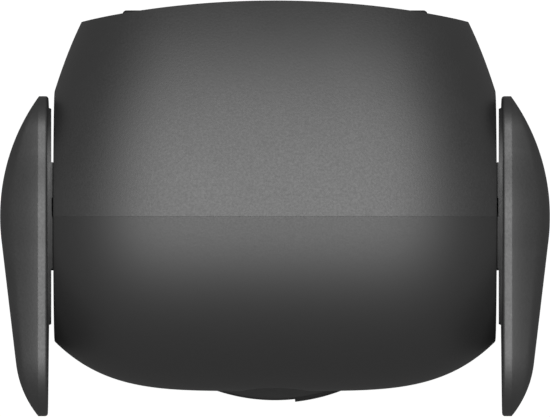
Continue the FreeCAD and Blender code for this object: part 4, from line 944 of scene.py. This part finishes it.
        start, bore, barrel, glass = flange + 0.05, self.barrel_bore, self.barrel_radius, self.glass_radius
        seat, end = start + self.glass_thickness, start + self.barrel_length
        ridges = []
        for step in range(self.baffle_count):
            along = end - 0.6 - step * self.baffle_pitch
            ridges += [(bore + 0.15, along), (bore, along - 0.25)]
        profile = [(barrel - 0.2, start), (barrel, start + 0.2), (barrel, end), (bore, end), *ridges,
                   (bore, seat), (glass, seat), (glass, start + 0.3), (glass + 0.3, start + 0.1),
                   (glass + 0.45, start + 0.1), (glass + 0.6, start)]
        tube = Maker().turn(profile, Axis.Y, TILT_AXIS, 128, closed=True).mesh("tube")
        piece("lens_barrel_tube", tube, BAFFLE, "head", "lens_barrel")

        for name, radius, ball, front, back, nodes in (
                ("front_lens_dome", glass - 0.05, self.glass_balls[0], start + 0.4, seat, ["front_lens"]),
                ("second_lens_dome", bore - 0.05, self.glass_balls[1], seat + 0.9, seat + 2.6, [])):
            profile = [(float(reach), front + ball - math.sqrt(ball ** 2 - reach ** 2))
                       for reach in np.linspace(0.02, radius, 28)]
            dome = Maker().turn([*profile, (radius, back)], Axis.Y, TILT_AXIS, 96).mesh(name)
            piece(name, dome, LENS_GLASS, "head", *nodes)
        hole, rim, front, back = self.iris_radius, bore - 0.02, seat + 3.0, seat + 3.4
        iris = Maker().turn([(hole, seat + 3.2), (hole + 0.1, front), (rim, front), (rim, back),
                             (hole + 0.1, back)], Axis.Y, TILT_AXIS, 96, closed=True).mesh("iris")
        piece("lens_iris", iris, BAFFLE, "head")

    def infrared(self) -> None:
        """The dark window below the lens, the row of domed lamps behind it and the status light."""
        plug = self.stadium(self.window_half_width - 0.1, self.window_half_height - 0.1, self.window_drop)
        face, back = (self.barrel(depth) for depth in self.window_depths)
        piece("infrared_pane", combine(face, [*cut(back), (Work.KEEP, plug)]), INFRARED_PANE, "head",
              "infrared_window")
        lamps = Maker()
        radius, front, end = self.lamp_radius, self.lamp_front, self.lamp_front + self.lamp_length
        slim = self.lamp_dome_share * radius
        dome = [(slim * math.sin(turn), front + radius * (1 - math.cos(turn)))
                for turn in np.linspace(0.02, QUARTER, 14)]
        for number in range(self.lamp_count):
            x = (number - (self.lamp_count - 1) / 2) * self.lamp_pitch
            lamps.turn([*dome, (slim, end - 0.7), (radius, end - 0.6), (radius, end)], Axis.Y,
                       (x, 0, TILT_Z - self.window_drop), 40)
        piece("infrared_lamp_domes", lamps.mesh("lamps"), WINDOW, "head", "infrared_lamps")
        stem = rod(self.light_hole - self.light_gap, Axis.Y, (-40.0, end),
                   (self.light_x, 0, TILT_Z - self.microphone_drop), 40)
        pipe = combine(stem, [(Work.KEEP, self.barrel(self.light_gap))])
        piece("status_light_pipe", pipe, LIGHT_PIPE, "head", "status_light")

    def build(self) -> None:
        """Builds the head and dresses what stays of the part."""
        self.shells()
        self.panel()
        self.lens()
        self.infrared()
        across, y, up = self.frame_screw_place
        places = [(x, y, TILT_Z + z) for x in (-across, across) for z in (-up, up)]
        screws = Screws(2.2, 1.2, 1.1, 8.6, (QUARTER, 0.0, 0.0)).mesh(places)
        piece("frame_screw_set", screws, STEEL, "head", "frame_screws")
        dress(CHIP, "lens_mount", "image_sensor", "microphone", "head_frame")
        dress(BOARD, "sensor_board", "infrared_board", "head_board")
        dress(BEARING, "left_bush", "right_bush")
        dress(ALUMINIUM, "heat_sink")
        dress(STEEL, "tilt_motor")
        dress(BRASS, "tilt_pinion")
        dress(LENS_GLASS, "infrared_filter")


# The arms


@dataclass
class Arm:
    """One arm: the flat plate, its domed cover, the disc and the hub beside the head."""

    side: Side
    inner_x: float = 45.3
    outer_x: float = 47.15
    disc_x: float = 44.49
    disc_radius: float = 21.76
    disc_flatness: Pair = (4.0, 7.0)
    disc_slope: float = 0.3
    disc_slope_from: float = 3.0
    disc_fall: float = 0.24
    disc_draft: float = 0.0113
    disc_steps: int = 360
    land_x: float = 44.24
    land_span: Pair = (-10.4, 10.8)
    land_depth: float = 6.0
    land_notch: float = 0.17
    hub_radius: float = 10.8
    edge: float = 0.55
    hub_lobe: float = 23.78
    end_lobes: tuple[Triple, ...] = ((-27.2, 11.0, 12.65), (0.0, -38.0, 10.79), (16.2, 13.1, 7.5))
    lobe_blend: float = 1.4
    fall: float = 0.36
    curve: float = 0.038
    hub_wall: Triple = (14.0, 0.0, 41.0)
    tail_wall: Triple = (32.0, -27.2, 19.93)
    lean_from_z: float = -5.0
    lean_end: Pair = (50.5, -48.79)
    shoulder: float = 2.4
    draft: float = 0.018
    cover_wall: float = 1.8
    strut_top: float = 28.5
    strut_thickness: float = 2.2
    strut_width: float = 21.6
    strut_inner_x: float = 22.0
    strut_bend_x: float = 37.2
    hub_inner_x: float = 43.9
    hub_chamfer: float = 0.45
    stub_radius: float = 6.0
    peg_radius: float = 5.0
    hub_bore: float = 3.0
    notch_width: float = 3.7
    notch_depth: float = 1.5

    def show(self, name: str, mesh: Mesh, node: str) -> None:
        """Makes a mesh the arm's piece of that name in place of the arm's node."""
        label = self.side.name.lower()
        piece(f"{label}_{name}", mesh, CHARCOAL, "yoke", f"{label}_{node}")

    def loft(self, loops: Sequence[np.ndarray], closed: bool = False) -> Mesh:
        """Joins loops that are given for the right arm, from the tilt axis, on this arm."""
        sign, middle = np.array([self.side.value, 1, 1]), np.array(TILT_AXIS)
        return Maker().loft([loop * sign + middle for loop in loops], closed).mesh("arm")

    def lobe_depth(self, y: np.ndarray, z: np.ndarray, end: Triple) -> np.ndarray:
        """How deep each place lies inside the outline that wraps the hub's circle and another one.

        Args:
            y: places across the arm.
            z: heights from the tilt axis.
            end: the other circle's centre and radius.

        Returns:
            The distance from the outline, below zero outside it.
        """
        length = math.hypot(end[0], end[1])
        lean = (self.hub_lobe - end[2]) / length
        steep = math.sqrt(1 - lean ** 2)
        along = (y * end[0] + z * end[1]) / length
        across = np.abs(z * end[0] - y * end[1]) / length
        share = along * steep - across * lean
        near_hub = self.hub_lobe - np.hypot(along, across)
        near_end = end[2] - np.hypot(along - length, across)
        between = self.hub_lobe - (across * steep + along * lean)
        return np.where(share < 0, near_hub, np.where(share > steep * length, near_end, between))

    def depth(self, y: np.ndarray, z: np.ndarray) -> np.ndarray:
        """How deep each place lies inside the arm's outline, with soft valleys between the lobes."""
        whole = self.lobe_depth(y, z, self.end_lobes[0])
        for end in self.end_lobes[1:]:
            other = self.lobe_depth(y, z, end)
            gap = np.clip(0.5 + 0.5 * (other - whole) / self.lobe_blend, 0, 1)
            away = np.clip((np.hypot(y, z) - self.hub_radius) / self.hub_radius, 0, 1)
            whole = whole + (other - whole) * gap + self.lobe_blend * away * gap * (1 - gap) * 0.5
        return whole

    def wall(self, y: np.ndarray) -> np.ndarray:
        """How far out the arm's outer wall stands in the plan view."""
        best = np.full(y.shape, 0.0)
        for share in np.linspace(0, 1, 121):
            x, centre, radius = (first + share * (second - first)
                                 for first, second in zip(self.hub_wall, self.tail_wall))
            rest = radius ** 2 - (y - centre) ** 2
            best = np.maximum(best, np.where(rest > 0, x + np.sqrt(np.maximum(rest, 0)), 0.0))
        return best

    def height(self, y: np.ndarray, z: np.ndarray) -> np.ndarray:
        """The cover's outermost x at each place: a flat dome with a round shoulder to its outer wall."""
        deep = np.maximum(self.depth(y, z), 0)
        dome = self.outer_x + (np.sqrt(self.fall ** 2 + 4 * self.curve * deep) - self.fall) / (2 * self.curve)
        reach = self.hub_wall[0] + self.hub_wall[2]
        lean = (reach - self.lean_end[0]) / (self.lean_from_z - self.lean_end[1])
        wall = np.minimum(self.wall(y), reach - np.maximum(self.lean_from_z - z, 0) * lean)
        wall = wall - self.draft * np.maximum(z, 0)
        soft = np.clip(0.5 * (np.minimum(dome, wall) - self.outer_x), 1e-3, self.shoulder)
        gap = np.clip(0.5 + 0.5 * (dome - wall) / soft, 0, 1)
        return np.maximum(dome + (wall - dome) * gap - soft * gap * (1 - gap), self.outer_x)

    def outline(self) -> np.ndarray:
        """The arm's outline as YZ points from the tilt axis, anticlockwise."""
        rays = circle(1.0, 420)
        low, high = np.zeros(len(rays)), np.full(len(rays), FAR)
        for _ in range(40):
            middle = (low + high) / 2
            inside = self.depth(middle * rays[:, 0], middle * rays[:, 1]) > 0
            low, high = np.where(inside, middle, low), np.where(inside, high, middle)
        return rays * low[:, None]

    def cover(self) -> None:
        """The domed shell over the arm's outside."""
        outline = self.outline()
        loops = [Axis.X.lay(inward(outline, self.cover_wall), self.outer_x)]
        for share in (1 - np.linspace(1, 0, 90) ** 1.5)[::-1]:
            ring = outline * max(share, 1e-4)
            loops.append(np.column_stack([self.height(ring[:, 0], ring[:, 1]), ring]))
        self.show("arm_dome", self.loft(loops), "arm_cover")

    def plate(self) -> None:
        """The flat plate, with a small round along its inner rim, and its strut down to the turntable."""
        outline = self.outline()
        loops = [Axis.X.lay(inward(outline, inset), self.inner_x + self.edge - climb)
                 for inset, climb in rounded_edge(self.edge)[::-1]]
        plate = self.loft([*loops, Axis.X.lay(outline, self.outer_x)])
        span = self.side.span(self.inner_x - 1, self.outer_x + 1)
        hole = rod(self.peg_radius + 0.05, Axis.X, span, TILT_AXIS)
        self.show("arm_plate", combine(plate, [(Work.JOIN, self.strut()), *cut(hole)]), "arm")

    def strut(self) -> Mesh:
        """The strip that bends from under the plate to the turntable."""
        low, bend = self.strut_top - self.strut_thickness, self.strut_bend_x
        outer, inner = self.outer_x - bend, self.inner_x - bend
        turns = np.linspace(0, QUARTER, 25)
        profile = [(self.strut_inner_x, low)]
        profile += [(bend + outer * math.sin(turn), low + outer * (1 - math.cos(turn))) for turn in turns]
        profile += [(self.outer_x, low + outer + 3), (self.inner_x, low + outer + 3)]
        profile += [(bend + inner * math.sin(turn), self.strut_top + inner * (1 - math.cos(turn)))
                    for turn in turns[::-1]]
        profile.append((self.strut_inner_x, self.strut_top))
        half = self.strut_width / 2
        mesh = slab(np.array(profile), Axis.Y, (-half, half), (self.edge, self.edge))
        for vertex in mesh.vertices:
            vertex.co.x *= self.side.value
        tidy(mesh)
        return mesh

    def disc_outline(self, inset: float) -> np.ndarray:
        """The disc's outline as YZ points: round below the axis, flat on top, sloping down to the front."""
        cosine, sine = circle(1.0, self.disc_steps).T
        flatness = np.where(cosine > 0, self.disc_flatness[0], self.disc_flatness[1])
        power = np.where(sine > 0, 2 / flatness, 1.0)
        radius = self.disc_radius - inset
        across, up = (radius * np.sign(part) * np.abs(part) ** power for part in (cosine, sine))
        lower = self.disc_slope * np.maximum(-across - self.disc_slope_from, 0)
        return np.column_stack([across, up - np.where(up > 0, lower * up / radius, 0)])

    def disc(self) -> None:
        """The thin disc on the arm's inner face, leaning a little, with a notched land over the hub."""
        bore = circle(self.hub_radius + 0.05, self.disc_steps)
        face = []
        for points in (bore, self.disc_outline(self.disc_fall)):
            x = self.disc_x + self.disc_draft * (self.disc_radius - points[:, 1])
            face.append(np.column_stack([np.minimum(x, self.inner_x - 0.05), points]))
        foot = [Axis.X.lay(points, self.inner_x) for points in (self.disc_outline(0), bore)]
        disc = self.loft([*face, *foot], closed=True)
        low, high = self.land_span
        top = TILT_Z + self.disc_radius
        land = self.loft([Axis.X.lay(self.disc_outline(self.disc_fall * share), x)
                          for share, x in ((1.2, self.land_x), (0.5, self.inner_x - 0.2))])
        span = self.side.span(self.land_x - 1, self.inner_x)
        step = self.side.span(self.land_x - 1, self.land_x + self.land_notch)
        land = combine(land, [
            (Work.KEEP, box((span[0], low, top - self.land_depth), (span[1], high, top + 1))),
            *cut(box((step[0], 0.0, top - self.land_depth - 1), (step[1], self.notch_width, top + 1)))])
        self.show("disc_ring", combine(disc, [(Work.JOIN, land)]), "arm_disc")

    def hub(self) -> None:
        """The hollow hub: a notched ring beside the head, a stub into the head and a peg through the arm."""
        stub_end = min(abs(corner[0] / MM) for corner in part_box(f"{self.side.name.lower()}_hub"))
        near, far, edge, bore = self.hub_inner_x, self.inner_x, self.hub_chamfer, self.hub_bore
        stub, peg, outer = self.stub_radius, self.peg_radius, self.outer_x
        ring = [(self.hub_radius - inset, near + edge - climb)
                for inset, climb in rounded_edge(edge, 3)[::-1]]
        ring += [(self.hub_radius - inset, far - edge + climb) for inset, climb in rounded_edge(edge, 3)]
        profile = [(bore, stub_end + 0.2), (bore + 0.2, stub_end), (stub - 0.3, stub_end),
                   (stub, stub_end + 0.3), (stub, near), *ring, (peg, far), (peg, outer - 0.2),
                   (peg - 0.2, outer), (bore, outer)]
        signed = [(radius, self.side.value * along) for radius, along in profile]
        body = Maker().turn(signed, Axis.X, TILT_AXIS, 160, closed=True).mesh("hub")
        top, span = TILT_Z + self.hub_radius, self.side.span(near - 1, far - edge)
        notch = box((span[0], 0.0, top - self.notch_depth), (span[1], self.notch_width, top + 1))
        self.show("hub_ring", combine(body, cut(notch)), "hub")

    def build(self) -> None:
        """Builds the arm."""
        self.plate()
        self.cover()
        self.disc()
        self.hub()


# The base


@dataclass
class Base:
    """The round base with the block behind it, its door and ports, and the turntable on it."""

    radius: float = 37.85
    height: float = 24.0
    wall: float = 2.2
    top_round: float = 1.2
    block_half_width: float = 30.95
    block_reach: float = 41.8
    block_height: float = 20.0
    block_corner: float = 0.8
    block_round: float = 0.6
    foot_round: float = 0.3
    steps: int = 320
    bearing_radius: float = 15.05
    bearing_depth: float = 4.0
    screw_boss: float = 2.8
    screw_hole: float = 0.95
    screw_places: tuple[Pair, ...] = ((31.185, 2.728), (-31.304, 0.0), (8.207, -30.209), (26.0, 31.0),
                                      (-26.0, 33.0))
    door_angles: Pair = (-33.6, 6.2)
    door_heights: Pair = (5.0, 17.0)
    door_recess: float = 0.55
    door_thickness: float = 1.6
    door_gap: float = 0.3
    door_pin: float = 0.5
    door_pin_length: float = 1.5
    scoop_radius: float = 2.0
    scoop_turn: float = 2.6
    scoop_end: float = 4.0
    bay: Quad = (-15.6, -2.4, 6.2, 16.0)
    network: Quad = (5.0, 21.0, 5.2, 17.8)
    network_mouth: Quad = (7.0, 19.0, 7.6, 15.6)
    network_front: float = 30.8
    contact_count: int = 8
    contact_pitch: float = 1.02
    contact_length: float = 6.5
    power: Quad = (-8.5, 0.5, 5.2, 8.5)
    power_front: float = 33.8
    port_gap: float = 0.1
    reset_x: float = -17.0
    reset_z: float = 9.0
    reset_radius: float = 2.0
    reset_end: float = 42.2
    reset_round: float = 0.35
    dish_radius: float = 1.25
    dish_depth: float = 0.3
    collar_thickness: float = 1.2
    foot_angles: Quad = (-27.0, 207.0, 39.8, 140.2)
    foot_inset: float = 4.8
    thread_length: float = 7.95
    thread_pitch: float = 1.27
    thread_radii: Pair = (2.6, 3.0)
    thread_count: int = 6
    insert_radius: float = 4.5
    turntable_radius: float = 37.2
    turntable_heights: Pair = (24.5, 28.5)
    strut_half_width: float = 10.85
    strut_inner_x: float = 21.95
    strut_low: float = 26.25
    arm_screw_x: float = 29.0
    arm_screw_y: float = 6.0
    cover_screw_circle: float = 17.0
    cover_screw_angles: Triple = (90.0, 200.0, 320.0)

    def ring_cut(self, inner: float, angles: Pair, heights: Pair) -> Mesh:
        """A piece of a ring from a radius to beyond the base, as a cutter."""
        return slab(sector(inner, self.radius + 2, *angles), Axis.Z, heights)

    def hinge(self, radius: float, extra: float, steps: int, inset: float = 0.0) -> Mesh:
        """A rod round the door's hinge.

        Args:
            radius: the rod's radius.
            extra: how far it runs beyond the door's opening at each end.
            steps: the number of flats round it.
            inset: how far each end stands back instead.

        Returns:
            The rod.
        """
        turn, (low, high) = math.radians(self.door_angles[0]), self.door_heights
        reach = self.radius - self.door_recess - self.door_thickness / 2
        return rod(radius, Axis.Z, (low + inset - extra, high - inset + extra),
                   (reach * math.sin(turn), -reach * math.cos(turn), 0.0), steps)

    def shell(self) -> None:
        """The base's casing with its step, card bay, ports, screw bosses and rounded edges."""
        side, reach, wall, above = self.block_half_width, self.block_reach, self.wall, self.height + 1
        inner, back = self.radius - wall, reach - wall
        body = slab(circle(self.radius, self.steps), Axis.Z, (0.0, self.height),
                    (self.foot_round, self.top_round))
        rear = slab(rectangle((-side, 0), (side, reach), self.block_corner), Axis.Z, (0.0, self.block_height),
                    (self.foot_round, self.block_round))
        side -= wall
        tools = [(Work.JOIN, rear), *cut(
            slab(circle(inner, self.steps), Axis.Z, (-1.0, self.height - wall), (0.0, 0.8)),
            slab(rectangle((-side, 0), (side, back), max(self.block_corner - 1, 0.3)), Axis.Z,
                 (-1.0, self.block_height - wall)))]
        for x, y in self.screw_places:
            ceiling = self.height if math.hypot(x, y) < inner else self.block_height
            boss = rod(self.screw_boss, Axis.Z, (2.0, ceiling - wall + 0.5), (x, y, 0), 32)
            tools.append((Work.JOIN, boss))
            tools += cut(rod(self.screw_hole, Axis.Z, (-1.0, 10.0), (x, y, 0), 24))
        face, half = self.radius - self.door_recess, self.door_thickness / 2
        gap, start = self.door_gap, self.door_angles[0]
        before = start - math.degrees((half + gap) / self.radius)
        tools += cut(
            rod(self.bearing_radius, Axis.Z, (self.height - self.bearing_depth, above), (0, 0, 0)),
            self.ring_cut(face - self.door_thickness - 2 * gap, self.door_angles, self.door_heights),
            self.hinge(half + gap, 0.0, 40),
            self.ring_cut(face - half, (before, start), self.door_heights),
            self.hinge(self.door_pin + 0.05, self.door_pin_length, 24),
            box((self.bay[0], -FAR, self.bay[2]), (self.bay[1], -inner * 0.7, self.bay[3])),
            self.ring_cut(face, self.door_angles, (-1.0, above)))
        gap = self.port_gap
        for left, right, low, high in (self.network, self.power):
            tools += cut(box((left - gap, back - 1, low - gap), (right + gap, FAR, high + gap)))
        place = (self.reset_x, 0, self.reset_z)
        tools += cut(rod(self.reset_radius + 0.3, Axis.Y, (back - 1, FAR), place, 64))
        # The base's finish carries painted shade: less sheen in place of the head's shadow
        piece("base_shell_skin", combine(body, tools), CHARCOAL_BASE_PAINTED_SHADE, "base", "base_shell")

    def door(self) -> None:
        """The curved flap over the card bay, with its pins and a scoop for a fingernail."""
        face, gap = self.radius - self.door_recess, self.door_gap
        end = self.door_angles[1] - math.degrees(gap / face)
        low, high = self.door_heights[0] + gap, self.door_heights[1] - gap
        panel = slab(sector(face - self.door_thickness, face, self.door_angles[0], end), Axis.Z, (low, high),
                     (0.15, 0.15))
        turn, reach = math.radians(end - self.scoop_turn), face + 1.5
        scoop = rod(self.scoop_radius, Axis.Z, (low + self.scoop_end, high - self.scoop_end),
                    (reach * math.sin(turn), -reach * math.cos(turn), 0), 48)
        barrel = self.hinge(self.door_thickness / 2, 0.0, 40, gap)
        pins = self.hinge(self.door_pin, self.door_pin_length, 24, gap)
        flap = combine(panel, [(Work.JOIN, barrel), (Work.JOIN, pins), *cut(scoop)])
        # The door shares the base's finish, with its painted shade of less sheen
        piece("card_door_flap", flap, CHARCOAL_BASE_PAINTED_SHADE, "card_door", "card_door")

    def network_port(self) -> None:
        """The network socket with its latch slot and its spring contacts."""
        left, right, low, high = self.network
        wide, far, under, top = self.network_mouth
        middle, front, back = (left + right) / 2, self.network_front, self.block_reach
        housing = slab(rectangle((left, low), (right, high), 0.4, 4), Axis.Y, (front, back), (0.1, 0.25))
        tools = cut(box((wide, front + 0.8, under), (far, FAR, top)),
                    box((middle - 3.2, front + 3, under - 0.8), (middle + 3.2, FAR, under + 1)),
                    box((middle - 1.6, front + 3, under - 1.5), (middle + 1.6, FAR, under)),
                    box((middle - 4.6, front + 2, top - 1), (middle + 4.6, back - 1.6, top + 1.0)))
        piece("network_housing", combine(housing, tools), CHIP, "base", "network_socket")
        pitch, length = self.contact_pitch, self.contact_length
        contacts = bars(self.contact_count, (middle - 3.5 * pitch, back - 2.2 - length / 2, top + 0.45),
                        (pitch, 0.0, 0.0), (0.4, length, 0.3))
        piece("network_contacts", contacts, GOLD, "base")

    def power_port(self) -> None:
        """The power socket's steel shell with its tongue and contacts."""
        left, right, low, high = self.power
        front, back, height = self.power_front, self.block_reach, (low + high) / 2
        shell = slab(rectangle((left, low), (right, high), 1.2, 6), Axis.Y, (front, back), (0.1, 0.12))
        mouth = slab(rectangle((left + 0.3, low + 0.3), (right - 0.3, high - 0.3), 0.9, 6), Axis.Y,
                     (front + 1.0, back + 1))
        piece("power_shell", combine(shell, cut(mouth)), STEEL, "base", "power_socket")
        tongue = slab(rectangle((left + 1.5, height - 0.35), (right - 1.5, height + 0.35), 0.15, 3), Axis.Y,
                      (front + 0.9, back - 1.0), (0.0, 0.15))
        piece("power_tongue", tongue, CHIP, "base")
        strips = bars(5, (left + 2.5, back - 3.6, height + 0.36), (1.0, 0.0, 0.0), (0.45, 4.2, 0.06))
        piece("power_contacts", strips, GOLD, "base")

    def button(self) -> None:
        """The reset button, with a collar inside the wall, a round rim and a dished face."""
        radius, end = self.reset_radius, self.reset_end
        collar, start = radius + 1.0, self.block_reach - self.wall - 0.05 - self.collar_thickness
        top = start + self.collar_thickness
        profile = [(collar - 0.15, start), (collar, start + 0.15), (collar, start + 1.05),
                   (collar - 0.15, top), (radius, top)]
        profile += [(radius - inset, end - self.reset_round + climb)
                    for inset, climb in rounded_edge(self.reset_round)]
        profile += [(self.dish_radius * math.cos(turn), end - self.dish_depth * math.sin(turn))
                    for turn in np.linspace(0, QUARTER - 0.02, 10)]
        cap = Maker().turn(profile, Axis.Y, (self.reset_x, 0, self.reset_z), 64).mesh("button")
        piece("reset_button_cap", cap, DARK_PANEL, "reset_button", "reset_button")

    def underside(self) -> None:
        """The ribbed feet, the tripod thread and the screws."""
        feet = Maker()
        low, high = (corner[2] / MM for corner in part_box("rubber_feet"))
        ribs = [(0.4, low), (1.2, low), (1.25, low + 0.2), (1.65, low + 0.2), (1.7, low), (2.4, low),
                (2.45, low + 0.2), (2.85, low + 0.2), (2.9, low), (3.7, low), (3.9, low + 0.1),
                (4.0, low + 0.3), (4.0, high)]
        ring = self.radius - self.wall - self.foot_inset
        for angle in self.foot_angles:
            turn = math.radians(angle)
            feet.turn(ribs, Axis.Z, (ring * math.cos(turn), ring * math.sin(turn), 0), 48)
        piece("rubber_foot_set", feet.mesh("feet"), RUBBER, "base", "rubber_feet")

        thread, pitch, length = [], self.thread_pitch, self.thread_length
        crest, root = self.thread_radii
        for number in range(self.thread_count):
            start = length - 0.1 - number * pitch
            thread += [(crest, start), (root, start - pitch * 0.45), (crest, start - pitch * 0.9)]
        outer = self.insert_radius
        profile = [(root, 0.0), (outer - 0.2, 0.0), (outer, 0.2), (outer, length), (crest + 0.2, length),
                   *thread, (crest, 0.35)]
        insert = Maker().turn(profile, Axis.Z, (0, 0, 0), 96, closed=True).mesh("insert")
        piece("tripod_thread", insert, BRASS, "base", "tripod_insert")

        screws = Screws(2.0, 1.0, 0.9, 9.0).mesh([(x, y, 0.0) for x, y in self.screw_places])
        piece("base_screw_set", screws, STEEL, "base", "base_screws")

    def turntable(self) -> None:
        """The turning disc, with its hollow hub below, the pockets for the arms' struts and their screws."""
        low, high = self.turntable_heights
        edge = [(self.turntable_radius - inset, high - 0.6 + climb) for inset, climb in rounded_edge(0.6)]
        profile = [(8.0, high - 1.5), (8.0, 12.8), (8.2, 12.6), (9.8, 12.6), (10.0, 12.8), (10.0, 13.05),
                   (9.3, 13.05), (9.3, 13.95), (10.0, 13.95), (10.0, 17.05), (12.0, 17.05), (12.0, low),
                   (self.turntable_radius - 0.3, low), (self.turntable_radius, low + 0.3), *edge]
        body = Maker().turn(profile, Axis.Z, (0, 0, 0), self.steps).mesh("turntable")
        tools, places = [], []
        for side in Side:
            (start, end), half = side.span(self.strut_inner_x, FAR), self.strut_half_width
            tools += cut(box((start, -half, self.strut_low), (end, half, high + 1)))
            for y in (-self.arm_screw_y, self.arm_screw_y):
                x = side.value * self.arm_screw_x
                tools += cut(rod(1.3, Axis.Z, (low - 1, high + 1), (x, y, 0), 24),
                             rod(2.3, Axis.Z, (low - 1, low + 1.25), (x, y, 0), 32))
                places.append((x, y, low))
        # The turntable's finish carries painted shade: less sheen in place of the head's shadow on it
        piece("turntable_disc", combine(body, tools), CHARCOAL_BASE_PAINTED_SHADE, "yoke", "turntable")
        screws = Screws(2.2, 1.2, 1.1, 3.5, pitch=0.45).mesh(places)
        piece("arm_screw_set", screws, STEEL, "yoke", "arm_screws")

    def cover_screws(self) -> None:
        """The screws that hold both arms' covers, put in from the arms' inner faces."""
        both = bpy.data.meshes.new("joined")
        with opened(both) as work:
            for side in Side:
                places = []
                for angle in self.cover_screw_angles:
                    turn = math.radians(angle)
                    places.append((side.value * Arm.inner_x, self.cover_screw_circle * math.cos(turn),
                                   TILT_Z + self.cover_screw_circle * math.sin(turn)))
                work.from_mesh(Screws(1.7, 0.7, 0.8, 3.3, (0.0, side.value * QUARTER, 0.0), 0.4).mesh(places))
        tidy(both)
        piece("cover_screw_set", both, STEEL, "yoke", "cover_screws")

    def build(self) -> None:
        """Builds the base and the turntable and dresses what stays of the part."""
        self.shell()
        self.door()
        self.network_port()
        self.power_port()
        self.button()
        self.underside()
        self.turntable()
        self.cover_screws()
        dress(CHIP, "base_plate", "reset_switch", "memory_card", "speaker")
        dress(STEEL, "base_weight", "card_socket", "pan_motor", "retaining_ring")
        dress(BOARD, "main_board", "card_board")
        dress(BEARING, "pan_bearing", "pan_gear", "tilt_gear")
        dress(BRASS, "pan_pinion")
        dress(RUBBER, "arm_cable")


# The studio


@dataclass
class Studio:
    """The pale floor, the soft lamp, the world and the camera."""

    lens: float = 1300.0
    sensor: float = 36.0
    view_end: float = 20.0
    floor_z: float = -0.8
    floor_reach: float = 9.0
    floor_tone: str = "#5c5c5c"
    floor_roughness: float = 0.9
    floor_glow: float = 0.95
    glossy_share: float = 0.06
    overhead_power: float = 380.0
    overhead_size: Pair = (4.8, 6.6)
    overhead_place: Triple = (0.0, 0.35, 5.0)
    ambient: float = 0.07

    def camera(self) -> None:
        """The camera, which looks straight down with the photograph's scale at the tilt axis."""
        width = PHOTO_SIZE[0] * PHOTO_MM_PER_PIXEL
        distance = width / self.sensor * self.lens
        centre_y = (PHOTO_AXIS_ROW - PHOTO_SIZE[1] / 2) * PHOTO_MM_PER_PIXEL
        data = bpy.data.cameras.new("camera")
        data.lens, data.sensor_width, data.clip_end = self.lens, self.sensor, self.view_end
        made = bpy.data.objects.new("camera", data)
        made.location = (0, centre_y * MM, (TILT_Z + distance) * MM)
        bpy.context.scene.collection.objects.link(made)
        bpy.context.scene.camera = made

    def floor(self) -> None:
        """The plain pale floor, which the camera sees as white with the object's shadow on it."""
        reach, z = self.floor_reach, self.floor_z * MM
        mesh = bpy.data.meshes.new("floor")
        mesh.from_pydata([(-reach, -reach, z), (reach, -reach, z), (reach, reach, z), (-reach, reach, z)], [],
                         [(0, 1, 2, 3)])
        made = bpy.data.objects.new("floor", mesh)
        bpy.context.scene.collection.objects.link(made)
        finish = bpy.data.materials.new("pale_floor")
        finish.use_nodes = True
        tree = finish.node_tree
        shader = tree.nodes["Principled BSDF"]
        put(shader, {"Base Color": linear(self.floor_tone), "Roughness": self.floor_roughness})
        glow = add(tree, "ShaderNodeEmission", {"Color": (1, 1, 1, 1), "Strength": self.floor_glow})
        both = add(tree, "ShaderNodeAddShader", {0: shader, 1: glow})
        mix = add(tree, "ShaderNodeMixShader", {0: self.background_share(tree), 1: shader, 2: both})
        put(tree.nodes["Material Output"], {"Surface": mix})
        mesh.materials.append(finish)

    def background_share(self, tree: bpy.types.NodeTree) -> bpy.types.Node:
        """How much of the white background a ray sees: all of it for the camera and through glass.

        Args:
            tree: the floor's or the world's node tree.

        Returns:
            The share, with a small part for reflections, so that dark plastic keeps its dark edges.
        """
        ray = add(tree, "ShaderNodeLightPath").outputs
        glossy = add(tree, "ShaderNodeMath", {0: ray["Is Glossy Ray"], 1: self.glossy_share},
                     operation="MULTIPLY")
        through = add(tree, "ShaderNodeMath", {0: glossy, 1: ray["Is Transmission Ray"]}, operation="MAXIMUM")
        return add(tree, "ShaderNodeMath", {0: through, 1: ray["Is Camera Ray"]}, operation="MAXIMUM")

    def world(self) -> None:
        """A soft grey room that the camera sees as white."""
        world = bpy.data.worlds.new("room")
        bpy.context.scene.world = world
        world.use_nodes = True
        tree = world.node_tree
        tree.nodes.clear()
        dim, white = (add(tree, "ShaderNodeBackground", {"Color": (1, 1, 1, 1), "Strength": strength})
                      for strength in (self.ambient, 1.0))
        mix = add(tree, "ShaderNodeMixShader", {0: self.background_share(tree), 1: dim, 2: white})
        add(tree, "ShaderNodeOutputWorld", {"Surface": mix})

    def lamp(self) -> None:
        """The oval soft lamp overhead, which faces the object."""
        data = bpy.data.lights.new("overhead", "AREA")
        data.shape, data.energy = "ELLIPSE", self.overhead_power
        data.size, data.size_y = self.overhead_size
        made = bpy.data.objects.new("overhead", data)
        made.location = self.overhead_place
        away = Vector((0, 0, TILT_Z * MM)) - Vector(self.overhead_place)
        made.rotation_euler = away.to_track_quat("-Z", "Y").to_euler()
        bpy.context.scene.collection.objects.link(made)

    def build(self) -> None:
        """Sets up the whole studio."""
        self.camera()
        self.floor()
        self.world()
        self.lamp()
        bpy.context.scene.view_settings.view_transform = "Standard"


def main() -> None:
    """Builds the studio and the object's sub-assemblies in order."""
    Studio().build()
    Head().build()
    for side in Side:
        Arm(side).build()
    Base().build()


if __name__ == "__main__":
    main()
